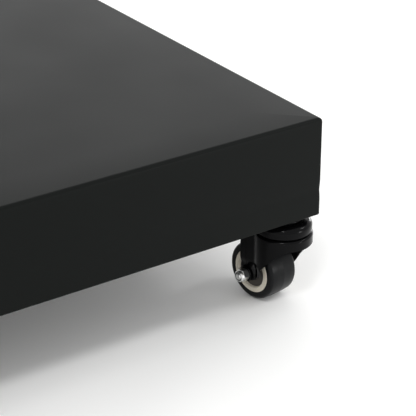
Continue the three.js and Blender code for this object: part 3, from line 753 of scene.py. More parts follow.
class SCALE_OT_platform_cover(bpy.types.Operator):
    """Builds the folded and powder-coated platform cover"""
    bl_idname = "scale.platform_cover"
    bl_label = "Platform cover"

    def execute(self, context):
        sizes = context.scene.scale_sizes
        middle, half_w, half_d, height = foot_of("platform_cover")
        faces = []
        for section in self.sections(sizes, height):
            rings = []
            for inset, up in section:
                loop = rounded_loop(half_w - inset, half_d - inset, sizes.corner_radius / MM - inset, 8)
                rings.append([self.dressed(x, y, up, half_w, half_d) for x, y in loop])
            faces.append(rings)
        piece("platform_cover_folded", tray(*faces), middle, "cover", "black_powder_coat", "platform_cover")
        return {"FINISHED"}

    def sections(self, sizes, height):
        """Inset and height of the sheet's outside and inside, each from the hem to the top."""
        bend = sizes.bend_radius / MM
        sheet = sizes.sheet / MM
        hem = 0.9
        sides = [(0, up) for up in (8, 14, 19, 21.5, 24, 30, 55)]
        outside = arc((hem, hem), hem, 270, 180, 5) + sides + arc((bend, height - bend), bend, 180, 90, 8)
        inside = [(sheet, 0.2)] + arc((bend, height - bend), bend - sheet, 180, 90, 5)
        return outside + [(40, height)], inside + [(40, height - sheet)]

    def dressed(self, x, y, up, half_w, half_d):
        """A point of the sheet, drawn in a little where the corner was welded and ground."""
        near = max(0.0, 1 - (half_w - abs(x) + half_d - abs(y)) / 10)
        notch = math.exp(-((up - 22) / 3.5) ** 2)
        pull = 1 - 0.45 * near * notch / half_d
        return x * pull, y * pull, up


class SCALE_OT_frames(bpy.types.Operator):
    """Finishes the frames, the load cell and what sits between them"""
    bl_idname = "scale.frames"
    bl_label = "Frames and load cell"

    def execute(self, context):
        edge = context.scene.scale_sizes.tube_edge / MM
        finished("base_frame", "frame", "frame_paint", edge)
        finished("load_frame", "frame", "frame_paint", 0.7 * edge)
        finished("load_cell", "frame", "load_cell_aluminium", 0.6)
        for node in ("lower_spacer", "upper_spacer"):
            finished(node, "frame", "bare_steel", 0.6)
        for corner in CORNERS:
            self.buffer(f"rubber_buffer_{corner}")
            self.stop(f"overload_stop_{corner}")
        self.cell_screws("lower_spacer", "base_frame", -1, 0.68)
        self.cell_screws("upper_spacer", "load_frame", 1, 0.62)
        self.gauge_cover()
        self.welds("base_frame", "lower_spacer", BASE_TUBE)
        self.welds("load_frame", "upper_spacer", LOAD_TUBE)
        return {"FINISHED"}

    def buffer(self, node):
        place, r, _, h = foot_of(node)
        outside = [(0, 0), (r - 0.3, 0), (r, 0.4), (r - 0.8, h - 0.6), (r - 1.5, h)]
        profile = outside + [(3.2, h), (2.6, h - 1.2), (0, h - 1.2)]
        piece(node + "_moulded", turned(profile), place, "frame", "black_rubber", node)

    def stop(self, node):
        """Threaded stop screw with its nut."""
        place, _, _, height = foot_of(node)
        turns = int(height - 2)
        threads = [point for k in range(turns) for point in ((3.4, k + 0.1), (4.0, k + 0.5))]
        shank = [(0, 0), *threads, (3.4, turns + 0.1), (3.9, height - 0.5), (3.3, height), (0, height)]
        nut = moved(hex_nut(13, 6.4, 4.05), shift(z=15.4))
        piece(node + "_turned", merged(turned(shank, 48), nut), place, "frame", "zinc_plate", node)

    def cell_screws(self, spacer, beam, side, size):
        """Four socket screws through a beam into one of the load cell's ends."""
        spots = []
        for node, axis in (("load_cell", 0), (spacer, 1)):
            low, high = (corner[axis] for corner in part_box(node))
            spots.append([low + share * (high - low) for share in (0.25, 0.75)])
        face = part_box(beam)[0 if side < 0 else 1][2]
        points = [(x, y, face) for x in spots[0] for y in spots[1]]
        repeat(beam + "_cell_screws", socket_screw(), points, "frame", "zinc_plate", (0, 0, side), size)

    def gauge_cover(self):
        """Potting over the strain gauges on the cell's two sides."""
        foot, half_w, _, height = foot_of("load_cell")
        for side, name in ((-1, "left"), (1, "right")):
            place = foot @ shift(side * half_w * MM, 0, height / 2 * MM) @ turn(side * 90, "Y")
            piece("gauge_potting_" + name, plate(17, 9, 0, 1.6, 5, 1.2), place, "frame", "black_rubber")

    def welds(self, node, spacer, tube):
        """Weld beads where a frame's beam meets its side tubes."""
        low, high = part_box(node)
        beam_y = sum(corner[1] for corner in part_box(spacer)) / 2
        beads = []
        for x in (low[0] + tube * MM, high[0] - tube * MM):
            for edge in (-25, 25):
                beads += [(x, beam_y + edge * MM, low[2] + (3 + 2.4 * k) * MM) for k in range(7)]
        bead = bmesh.new()
        bmesh.ops.create_icosphere(bead, subdivisions=2, radius=2.1)
        low_bead = moved(bead, Matrix.Diagonal((1, 1, 0.8, 1)))
        repeat(node + "_welds", low_bead, beads, "frame", "frame_paint")


# ---------------------------------------------------------------- castors

# rows of points down a leg, and (y, z) points of the lower edge from the fork's front to the leg's end
WALL_ROWS = 26
FRONT_EDGE = (
    (-25, 58.2), (-19, 58), (-15.2, 55.8), (-11.4, 51.8), (-4, 44.2),
    (2.4, 36.4), (7.2, 28.6), (12.2, 23.2), (18, 19.9), (23, 18.8),
)


def ease(t):
    """A smooth step from 0 to 1."""
    t = min(1.0, max(0.0, t))
    return t * t * (3 - 2 * t)


def lower_edge(y):
    """Height of the fork's lower edge at y, as a smooth curve through the outline's points."""
    for i in range(len(FRONT_EDGE) - 1):
        (y0, z0), (y1, z1) = FRONT_EDGE[i], FRONT_EDGE[i + 1]
        if y <= y1 or i == len(FRONT_EDGE) - 2:
            before = FRONT_EDGE[max(i - 1, 0)]
            after = FRONT_EDGE[min(i + 2, len(FRONT_EDGE) - 1)]
            t = min(1.0, (y - y0) / (y1 - y0))
            slope0 = (z1 - before[1]) / (y1 - before[0]) * (y1 - y0)
            slope1 = (after[1] - z0) / (after[0] - y0) * (y1 - y0)
            h = (2 * t ** 3 - 3 * t ** 2 + 1) * z0 + (t ** 3 - 2 * t ** 2 + t) * slope0
            return h + (3 * t ** 2 - 2 * t ** 3) * z1 + (t ** 3 - t ** 2) * slope1


class SCALE_OT_castors(bpy.types.Operator):
    """Builds the four swivel castors"""
    bl_idname = "scale.castors"
    bl_label = "Castors"

    def execute(self, context):
        self.segments = context.scene.scale_sizes.smooth
        for corner in CORNERS:
            self.build(corner)
        return {"FINISHED"}

    def build(self, corner):
        swivel = Vector(JOINTS[f"castor_{corner}_swivel"]["pos_m"])
        axle = Vector(JOINTS[f"castor_{corner}_wheel_spin"]["axis"]).normalized()
        back = Vector((0, 0, 1)).cross(axle)
        stand = Matrix.Translation(swivel) @ Matrix((axle, back, (0, 0, 1))).transposed().to_4x4()
        wheel = stand @ shift(0, TRAIL * MM, WHEEL_R * MM) @ turn(90, "Y")
        inboard = wheel @ turn(180, "X") if corner.endswith("right") else wheel
        self.prefix = f"castor_{corner}_"
        self.part("head", "frame", "castor_black", turned(self.head(), self.segments), stand)
        self.part("ball_race", "swivel", "bare_steel", self.loop(self.race()), stand)
        self.fork(stand)
        self.part("hub", "wheel", "cream_nylon", self.loop(self.hub()), wheel)
        self.part("tyre", "wheel", "tyre_rubber", self.loop(self.tyre()), wheel)
        self.part("axle_bolt", "swivel", "zinc_plate", self.bolt(), inboard)
        nut = moved(merged(hex_nut(NUT_AF, 5.4, 3.05), self.collar()), shift(z=NUT_SEAT + WASHER))
        self.part("lock_nut", "swivel", "zinc_plate", nut, inboard)
        self.detail("lock_nut_insert", "swivel", "dark_grey_plastic", self.insert(), inboard)
        self.detail("thread_guards", "wheel", "dark_grey_plastic", self.guards(), wheel, "hub_guard")
        self.detail("washer", "swivel", "castor_black", self.washer(), inboard)

    def part(self, name, body, slot, bm, place):
        """A piece that stands for a node of its name, on the frame or on one of the castor's two bodies."""
        body = body if body == "frame" else self.prefix + body
        piece(self.prefix + name + "_made", bm, place, body, slot, self.prefix + name)

    def detail(self, name, body, slot, bm, place, look=None):
        """A piece that stands for no node."""
        piece(self.prefix + name, bm, place, self.prefix + body, slot, look=look)

    def loop(self, profile):
        return turned(profile, self.segments, True)

    def head(self):
        """Cup with its rolled rim, the bead round its neck, the threaded collar and the kingpin."""
        top = CUP_TOP
        neck = COLLAR_R + 2.6
        return [
            (0, 61.6), (7.6, 61.6), (8, 62), (8, 64.7), (7.6, 65), (5, 65), (5, 76), (20.4, 76), (21, 75.4),
            (21, CUP_RIM + 0.4), (21.4, CUP_RIM), *arc((CUP_R - 0.8, CUP_RIM + 0.8), 0.8, -90, 0, 4),
            *arc((CUP_R - 5.2, top - 5.2), 5.2, 0, 82, 10),
            (neck + 0.9, top - 0.05), *arc((neck - 1.4, top + 1.3), 1.4, -60, 90, 8),
            (COLLAR_R + 0.4, top + 2.6), (COLLAR_R, top + 3), (COLLAR_R, 85.4), (COLLAR_R - 0.4, 85.7),
            (6, 85.7), (6, 105), (5.2, 106), (0, 106),
        ]

    def race(self):
        return [(8, 67.7), (19.4, 67.7), (20.2, 68.5), (20.2, 74.8), (19.4, 75.6), (8.6, 75.6), (8, 75)]

    def hub(self):
        """Rim with a flat raised ring on each side, round a deep recess and its boss."""
        half = WHEEL_W / 2
        side = [
            (3.4, 16.7), (5.6, 16.7), (6, 16.3), (6, half - 2.6), (RING_R - 1, half - 2.6),
            (RING_R, half - 0.35), (RING_R + 0.4, half), (HUB_R - 0.4, half), (HUB_R, half - 0.4),
        ]
        return side + [(r, -z) for r, z in reversed(side)]

    def tyre(self):
        """Crowned tread with round shoulders and a fine mould line round its middle."""
        half = WHEEL_W / 2
        side = [
            (HUB_R + 0.1, half - 0.7), (HUB_R + 0.5, half - 0.2), (WHEEL_R - 3.6, half),
            *arc((WHEEL_R - 3.6, half - 3.2), 3.2, 90, 8, 8),
            (WHEEL_R - 0.1, 6), (WHEEL_R - 0.03, 0.5), (WHEEL_R, 0.25),
        ]
        return side + [(r, -z) for r, z in reversed(side)]

    def bolt(self):
        """Axle bolt: chamfered head, plain shank and the last threads past the nut."""
        seat = NUT_SEAT
        end = seat + 9.6
        threads = [point for k in range(3) for point in ((2.95, end - 3 + k), (2.5, end - 2.5 + k))]
        shank = turned([(0, -seat), (2.95, -seat), *threads, (2.3, end), (0, end)], 48)
        head = moved(hex_nut(NUT_AF, 4, 1.0), shift(z=-seat - 4))
        core = moved(turned([(0, 0), (2.2, 0), (2.2, 3.7), (0, 3.7)], 48), shift(z=-seat - 3.9))
        return merged(shank, head, core)

    def collar(self):
        """Round crimped collar that holds the lock nut's insert."""
        return turned([(3.9, 5), (4.75, 5), (4.75, 7.1), (4.2, 7.9), (3.8, 7.9), (3.8, 7.4)], 64, True)

    def insert(self):
        """Dark nylon locking ring in the nut's collar."""
        ring = turned([(2.6, 5), (3.9, 5), (3.9, 7.5), (2.6, 7.5)], 64, True)
        return moved(ring, shift(z=NUT_SEAT + WASHER))

    def washer(self):
        """Black washer under the lock nut."""
        profile = [(3.2, 0), (6.5, 0), (6.8, 0.25), (6.8, 0.9), (6.5, 1.15), (3.2, 1.15)]
        return moved(turned(profile, 64, True), shift(z=NUT_SEAT))

    def guards(self):
        """Dark thread guards pressed into the recess on each side of the hub."""
        half = WHEEL_W / 2
        outer = RING_R - 1.1
        side = [(6.1, half - 2.5), (outer, half - 2.5), (outer + 0.5, half - 1.7), (outer, half - 1.3)]
        side += [(8.6, half - 1.7), (6.6, half - 1.1), (6.1, half - 1.3)]
        return merged(self.loop(side), self.loop([(r, -z) for r, z in side]))

    def fork(self, place):
        """Pressed fork: a sheet skinned over its columns, then given its thickness and round edges."""
        sheet = skin(self.columns(), caps=False, wrap=False)
        tips = [self.tip(t) for t in (0, 12, 24, 38, 54, 72, 90)]
        right = skin(tips, caps=False, wrap=False)
        left = skin([[(-x, y, z) for x, y, z in column] for column in reversed(tips)], caps=False, wrap=False)
        pressed = merged(sheet, right, left)
        fork = make(self.prefix + "fork_pressed", pressed, finish("castor_black"), place)
        thick = fork.modifiers.new("sheet", "SOLIDIFY")
        thick.thickness = FORK_WALL * MM
        thick.offset = -1
        thick.use_even_offset = True
        settle(fork)
        round_edges(fork, 0.35, 2, 60)
        declare(fork, self.prefix + "swivel", "castor_black", self.prefix + "fork")

    def columns(self):
        """Columns of the sheet from the right leg, round the front, to the left leg."""
        crease = math.sqrt(CROWN_R ** 2 - LEG_HALF ** 2)
        flat = [LEG_FLAT + (crease - LEG_FLAT) * k / 8 for k in range(8)]
        start = math.degrees(math.asin(crease / CROWN_R))
        right = [self.column(LEG_HALF, y, 1, 0) for y in flat]
        around = []
        for out in arc((0, 0), 1, start, -180 - start, 72):
            around.append(self.column(CROWN_R * out[0], CROWN_R * out[1], *out))
        left = [self.column(-LEG_HALF, y, -1, 0) for y in reversed(flat)]
        return right + around + left

    def column(self, x, y, out_x, out_y):
        """From the kingpin's hole across the crown, over its rolled rim and down to the lower edge."""
        rim = 2.2
        reach = math.hypot(x, y)
        hole = Vector((5.4 * x / reach, 5.4 * y / reach))
        edge = Vector((x - rim * out_x, y - rim * out_y))
        points = [(*hole.lerp(edge, share), CROWN_TOP) for share in (0, 0.35, 0.7, 0.93)]
        for away, up in arc((0, CROWN_TOP - rim), rim, 90, 0, 6):
            points.append((edge[0] + away * out_x, edge[1] + away * out_y, up))
        return points + self.wall((x, y, CROWN_TOP - rim), (x, y, lower_edge(y)), out_x, out_y)[1:]

    def wall(self, top, foot, out_x, out_y):
        """Points down a wall, pressed inwards near the axle."""
        points = []
        for k in range(WALL_ROWS + 1):
            x, y, z = (a + (b - a) * k / WALL_ROWS for a, b in zip(top, foot))
            step = LEG_STEP * ease((39.5 - z) / 7) * ease((y - 3) / 9)
            points.append((x - step * out_x, y - step * out_y, z))
        return points

    def tip(self, angle):
        """A column of a leg's rear edge, between its sloping top and the round end at the axle."""
        a = math.radians(angle)
        rear = TRAIL + LEG_END_R - LEG_FLAT
        top = (LEG_HALF, LEG_FLAT + rear * math.sin(a), 51.3 + 13.8 * math.cos(a))
        foot = (LEG_HALF, TRAIL + LEG_END_R * math.sin(a), WHEEL_R - LEG_END_R * math.cos(a))
        return self.wall(top, foot, 1, 0)


# ---------------------------------------------------------------- column

class SCALE_OT_column(bpy.types.Operator):
    """Builds the column, its two brackets and the spirit level"""
    bl_idname = "scale.column"
    bl_label = "Column"

    def execute(self, context):
        low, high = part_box("column_tube")
        self.axis = ((low[0] + high[0]) / 2, (low[1] + high[1]) / 2)
        self.foot, self.top = low[2], high[2]
        self.radius = (high[0] - low[0]) / 2 / MM
        self.tube()
        self.bracket()
        self.head()
        self.level()
        return {"FINISHED"}

    def tube(self):
        top = (self.top - self.foot) / MM
        r = self.radius
        profile = [(r - 2, 0), (r - 0.5, 0), (r, 0.5), (r, top - 0.5), (r - 0.5, top), (r - 2, top)]
        tube, place = turned(profile, loop=True), shift(*self.axis, self.foot)
        piece("column_tube_drawn", tube, place, "frame", "black_powder_coat", "column_tube")

    def bracket(self):
        """Plate under the base frame with a split socket for the column and two ribs."""
        place, half_w, half_d, _ = foot_of("column_bracket")
        socket_y = (self.axis[1] - place.translation.y) / MM
        outer = half_d - socket_y
        inner = self.radius + 0.5
        top = 115.8
        socket = [(inner, 5), (outer, 5), (outer, top - 1.2), (outer - 1.2, top)]
        socket += [(inner + 0.8, top), (inner, top - 0.8)]
        weld = [(outer - 0.5, 5.5), (outer + 2.6, 5.5), (outer + 0.6, 7.6), (outer - 0.5, 8)]
        bm = merged(
            plate(half_w, half_d, 0, 6, 10, 0.8, 8),
            moved(plate(half_w, 14.9, 5, 9.6, 4, 0.8), shift(y=15 - half_d)),
            *[moved(turned(profile, loop=True), shift(y=socket_y)) for profile in (socket, weld)],
            *[self.rib(side, outer, half_w, socket_y) for side in (-1, 1)],
        )
        piece("column_bracket_welded", bm, place, "frame", "frame_paint", "column_bracket")
        self.screws()

    def rib(self, side, outer, half_w, socket_y):
        reach = half_w - outer - 1
        outline = [(0, 0), (reach, 0), (reach, 3), (1.5, 88), (0, 88)]
        rib = moved(slab(outline, 5), shift(outer - 1, socket_y + 2.5, 5.5), turn(90, "X"))
        if side < 0:
            return moved(rib, shift(0, 2 * socket_y), turn(180, "Z"))
        return rib

    def screws(self):
        """Plate screws up into the base frame, and the two clamp screws on the socket's back."""
        low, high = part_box("column_bracket")
        row = [(x * MM, low[1] + 15 * MM, low[2]) for x in (-48, -16, 16, 48)]
        repeat("bracket_screws", socket_screw(), row, "frame", "zinc_plate", (0, 0, -1))
        clamps = [(0, high[1] - 1.2 * MM, low[2] + up * MM) for up in (40, 95)]
        repeat("column_clamp_screws", socket_screw(4.2, 3.4), clamps, "frame", "zinc_plate", (0, 1, 0))

    def head(self):
        """Bent strap with round ends that holds the indicator, on a drilled plug in the column."""
        _, half_w, half_d, _ = foot_of("head_bracket")
        top = self.top + 0.3 * MM
        strap = self.strap(half_w, half_d, (JOINTS["indicator_tilt"]["pos_m"][2] - top) / MM)
        plug = self.radius - 2.6
        flange = self.radius - 0.5
        profiles = (
            [(plug - 3, -31), (plug - 0.6, -31), (plug, -30.4), (plug, 1), (plug - 3, 1)],
            [(plug - 3, 0.1), (flange, 0.1), (flange, 1), (plug - 3, 1)],
        )
        bm = merged(strap, *[turned(profile, loop=True) for profile in profiles])
        place = shift(*self.axis, top)
        piece("head_bracket_bent", bm, place, "frame", "black_powder_coat", "head_bracket")
        spots = [place @ Vector((x * MM, y * MM, STRAP * MM)) for y in (-11, 11) for x in (-11, 11)]
        repeat("head_bracket_screws", socket_screw(3.6, 2.6), spots, "frame", "zinc_plate")

    def strap(self, half_w, half_d, tilt_up):
        """Sections across the strap, from the right arm's top, round both bends, to the left arm's."""
        bend = 7
        right = []
        for width, up in arc((0, tilt_up), half_d, 89, 0, 12):
            right.append(self.section((half_w, up), (half_w - STRAP, up), width))
        outer = arc((half_w - bend, bend), bend, 0, -90, 6)
        inner = arc((half_w - bend, bend), bend - STRAP, 0, -90, 6)
        right += [self.section(o, i, half_d) for o, i in zip(outer, inner)]
        return skin(right + [[(-x, y, z) for x, y, z in section] for section in reversed(right)])

    def section(self, outer, inner, width):
        """Four corners across the strap, between an outer and an inner (x, z)."""
        (xo, zo), (xi, zi) = outer, inner
        return [(xo, -width, zo), (xo, width, zo), (xi, width, zi), (xi, -width, zi)]

    def level(self):
        """Bull's-eye level: domed vial, black ring and the mark round its middle."""
        place, r, _, h = foot_of("spirit_level")
        vial = [(0, 0.3), (r - 1.7, 0.3), (r - 1.7, h - 1.6), *arc((0, h - 13), 12.9, 58, 90, 6)]
        rim = [(r - 1.6, 0), (r, 0), (r, h - 1.5), (r - 0.5, h - 1), (r - 1.2, h - 1), (r - 1.6, h - 1.4)]
        mark = [(2.6, h - 0.5), (2.9, h - 0.5), (2.9, h - 0.42), (2.6, h - 0.42)]
        piece("spirit_level_vial", turned(vial, 64), place, "frame", "level_liquid", "spirit_level")
        piece("spirit_level_rim", turned(rim, 64, True), place, "frame", "dark_grey_plastic")
        ring = turned(mark, 64, True)
        piece("spirit_level_mark", ring, place, "frame", "dark_grey_plastic", look="key_figure")


# ---------------------------------------------------------------- indicator

def tilted():
    """The indicator's own frame: on the tilt axis, its face leaning back."""
    return Matrix.Translation(JOINTS["indicator_tilt"]["pos_m"]) @ turn(-REST_TILT, "X")


def facing(side):
    """Turns something made about Z to stand on the indicator's face (-1) or its back (1)."""
    return turn(90, "X") if side < 0 else turn(90, "X") @ turn(180, "X")


def on_case(side, x, y, z):
    """A place on the indicator in millimetres, for something made about Z that faces out of that side."""
    return tilted() @ shift(x * MM, y * MM, z * MM) @ facing(side)


class SCALE_OT_case(bpy.types.Operator):
    """Builds the indicator's two shells, with their seats and openings"""
    bl_idname = "scale.case"
    bl_label = "Indicator case"

    def execute(self, context):
        half_d = CASE[1] / 2
        seats = [
            self.cutter((WINDOW[0] + 0.6, 2.6, WINDOW[1] + 0.6), (0, -half_d, WINDOW_UP), 3),
            self.cutter((WINDOW[0] - 8, 12, WINDOW[1] - 8), (0, -half_d, WINDOW_UP), 2),
            self.cutter((KEYPAD[0] + 0.6, 2.2, KEYPAD[1] + 0.6), (0, -half_d, -KEYPAD_DOWN), 4),
        ]
        front = self.shell("indicator_front_moulded", half_d + CASE_SPLIT - 0.3, -1, CASE_SPLIT - 0.3)
        declare(carve(front, *seats), "indicator", "light_grey_abs", "indicator_front")
        rear = self.shell("indicator_rear_moulded", half_d - CASE_SPLIT, 1, CASE_SPLIT)
        backing = block((-60, 24.4, DOOR_UP - 38), (60, 27.6, DOOR_UP + 38))
        combine(rear, [make("hatch_backing", backing, finish("light_grey_abs"), tilted())], "UNION")
        holes = [
            self.cutter((DOOR[0] + 1.2, 5, DOOR[1] + 1.2), (0, half_d, DOOR_UP), 2),
            self.cutter((DOOR[0] - 10, 16, DOOR[1] - 10), (0, half_d, DOOR_UP), 2),
            self.cutter((14.6, 10, 11.6), (SIDE_X, half_d, FITTING_UP), 1),
            self.cutter((14, 10, 19.8), (-SIDE_X, half_d, FITTING_UP), 1),
        ]
        declare(carve(rear, *holes), "indicator", "light_grey_abs", "indicator_rear")
        self.seam()
        self.case_screws()
        return {"FINISHED"}

    def cutter(self, size, middle, corner):
        """A block with rounded corners in the plane of the face."""
        bm = skin([[(x, y, z) for x, y in rounded_loop(size[0] / 2, size[2] / 2, corner, 4)]
                   for z in (-size[1] / 2, size[1] / 2)])
        return make("cutter", moved(bm, shift(*middle), turn(90, "X")), finish("light_grey_abs"), tilted())

    def shell(self, name, depth, side, split):
        """One half of the case: an open tray with a rounded outer edge."""
        edge = 4
        outside = [(0.35, 0), (0, 0.35)] + arc((edge, depth - edge), edge, 180, 90, 7) + [(20, depth)]
        inside = [(CASE_WALL, 0)] + arc((edge, depth - edge), edge - CASE_WALL, 180, 90, 3)
        walls = [self.rings(section) for section in (outside, inside + [(20, depth - CASE_WALL)])]
        return make(name, tray(*walls), finish("light_grey_abs"), on_case(side, 0, split, 0))

    def rings(self, section):
        """Rounded rectangles at each inset and height of a section."""
        rings = []
        for inset, up in section:
            loop = rounded_loop(CASE[0] / 2 - inset, CASE[2] / 2 - inset, max(CASE_R - inset, 1.5), 8)
            rings.append([(x, y, up) for x, y in loop])
        return rings

    def seam(self):
        """Dark gasket that shows as a line between the two shells."""
        rings = self.rings(((0.9, -0.5), (0.9, 0.2), (2.2, 0.2), (2.2, -0.5)))
        place = on_case(1, 0, CASE_SPLIT, 0)
        piece("case_gasket", skin(rings, loop=True), place, "indicator", "black_rubber")

    def case_screws(self):
        own = tilted()
        depth = (CASE[1] / 2 - 0.6) * MM
        points = [own @ Vector((x * MM, depth, z * MM)) for x in (-112, 112) for z in (-62, 62)]
        back = own.to_3x3() @ Vector((0, 1, 0))
        repeat("case_screws", cross_screw(), points, "indicator", "zinc_plate", back)


def cross_screw():
    """Pan head with a cross recess, drawn as a dimple with four flutes."""
    def flutes(a):
        return 0.55 + 1.1 * max(0.0, math.cos(2 * a) ** 2 - 0.72) / 0.28

    profile = ((3.4, 0), (3.3, 0.7), (2.6, 1.5), (1.9, 1.8), (flutes, 1.8), (flutes, 0.7))
    return skin([circle(radius, up, 48) for radius, up in profile])


def nought(x, y, height):
    """The six lit bars of a leaning seven-segment nought, from its lower left corner."""
    width, thick = 0.52 * height, 0.11 * height
    right = [Vector((width, share * height)) for share in (0, 0.5, 1)]
    left = [Vector((0, share * height)) for share in (1, 0.5, 0)]
    corners = right + left
    bars = []
    for start, end in zip(corners, corners[1:] + corners[:1]):
        along = (end - start).normalized() * thick / 2
        across = along.orthogonal()
        tip, tail = start + 1.2 * along, end - 1.2 * along
        near, far = tip + along, tail - along
        points = (tip, near + across, far + across, tail, far - across, near - across)
        bars.append(slab([(x + u + 0.1 * v, y + v) for u, v in points], 0.12))
    return bars


class SCALE_OT_display(bpy.types.Operator):
    """Builds the lens, the display module and its three readouts"""
    bl_idname = "scale.display"
    bl_label = "Display"

    def execute(self, context):
        face = -CASE[1] / 2
        lens = plate(WINDOW[0] / 2, WINDOW[1] / 2, 0, 1.15, 2.6, 0.25)
        place = on_case(-1, 0, face + 1.3, WINDOW_UP)
        piece("display_lens", lens, place, "indicator", "display_lens", "display_window")
        place = on_case(-1, 0, face + 10.7, WINDOW_UP)
        module = plate(WINDOW[0] / 2, 20, 0, 7, 2, 0.4)
        dark = "dark_grey_plastic"
        piece("display_module_tray", module, place, "indicator", "lcd_glass", "display_module", look=dark)
        self.readouts(place)
        return {"FINISHED"}

    def readouts(self, place):
        """Weight on the left, unit weight in the middle, count on the right, all at nought."""
        glass, ink = [], []
        for x, count, pitch in ((-67, 5, 9.4), (0, 5, 9.4), (67, 6, 8.6)):
            glass.append(moved(plate(31, 11.5, 7, 7.5, 1, 0.2), shift(x=x)))
            left = x - pitch * count / 2 + 1.2
            for i in range(count):
                ink += nought(left + i * pitch, -6, 12)
            dot = slab([(0, 0), (0.9, 0), (0.9, 0.9), (0, 0.9)], 0.12)
            ink.append(moved(dot, shift(left + 2 * pitch - 1.9, -6.5)))
        piece("readout_glass", merged(*glass), place, "indicator", "lcd_glass")
        figures = moved(merged(*ink), shift(z=7.5))
        piece("readout_figures", figures, place, "indicator", "lcd_glass", look="lcd_ink")


class SCALE_OT_keypad(bpy.types.Operator):
    """Builds the membrane keypad, its embossed keys and their figures"""
    bl_idname = "scale.keypad"
    bl_label = "Keypad"

    def execute(self, context):
        self.place = on_case(-1, 0, 0.95 - CASE[1] / 2, -KEYPAD_DOWN)
        film = plate(KEYPAD[0] / 2, KEYPAD[1] / 2, 0, 0.55, 3.6, 0.1)
        piece("keypad_film", film, self.place, "indicator", "membrane_film", "keypad")
        rows = (26, 7, -12, -31)
        figures = [(x, y) for y in rows for x in (-92, -73, -54)]
        functions = [(x, y) for y in rows for x in (-22, 0, 22, 44)]
        self.keys("figure_keys", "key_print", figures, 1.0)
        self.keys("function_keys", "key_print", functions, 1.12)
        self.keys("confirm_keys", "key_green", [(74, y) for y in rows[:2]], 1.3)
        self.keys("clear_keys", "key_red", [(74, y) for y in rows[2:]], 1.3)
        self.figures(figures)
        self.marks(functions)
        return {"FINISHED"}

    def keys(self, name, look, spots, wide):
        """Domed keys, embossed in the film."""
        key = plate(7.4 * wide, 6.4, 0, 0.26, 1.8, 0.2, 4)
        points = [self.place @ Vector((x * MM, y * MM, 0.5 * MM)) for x, y in spots]
        out = self.place.to_3x3() @ Vector((0, 0, 1))
        repeat(name, key, points, "indicator", "membrane_film", out, look=look)

    def printed(self, name, *parts):
        """Marks printed on the keys, as one piece."""
        piece(name, merged(*parts), self.place, "indicator", "membrane_film", look="key_figure")

    def figures(self, spots):
        """The figures on the number keys, with a dot and a cross on the last two."""
        parts = [moved(self.figure(figure), shift(x, y, 0.79)) for figure, (x, y) in zip("7894561230", spots)]
        dot, cross = (shift(*spot, 0.77) for spot in spots[10:])
        parts.append(moved(turned([(0, 0), (0.9, 0), (0.9, 0.05), (0, 0.05)], 24), dot, shift(y=-1.5)))
        for half_w, half_h in ((3, 0.5), (0.5, 3)):
            parts.append(moved(plate(half_w, half_h, 0, 0.05, 0.1, 0.01, 2), cross))
        self.printed("key_figures", *parts)

    def figure(self, text):
        """One printed figure as a thin mesh about its middle."""
        curve = bpy.data.curves.new("figure", "FONT")
        curve.body = text
        curve.size = 9.5
        curve.align_x = "CENTER"
        curve.align_y = "CENTER"
        curve.extrude = 0.03
        obj = bpy.data.objects.new("figure", curve)
        bpy.context.scene.collection.objects.link(obj)
        graph = bpy.context.evaluated_depsgraph_get()
        mesh = bpy.data.meshes.new_from_object(obj.evaluated_get(graph))
        bpy.data.objects.remove(obj)
        bm = bmesh.new()
        bm.from_mesh(mesh)
        bpy.data.meshes.remove(mesh)
        return bm

    def marks(self, spots):
        """Plain bars on the function keys instead of words."""
        parts = []
        for i, (x, y) in enumerate(spots):
            wide = 3.2 + 0.9 * (i % 3)
            parts.append(moved(plate(wide, 0.5, 0, 0.05, 0.4, 0.01, 3), shift(x, y + 1.6, 0.77)))
            if i % 2:
                parts.append(moved(plate(0.7 * wide, 0.35, 0, 0.05, 0.3, 0.01, 3), shift(x, y - 1.4, 0.77)))
        self.printed("key_marks", *parts)


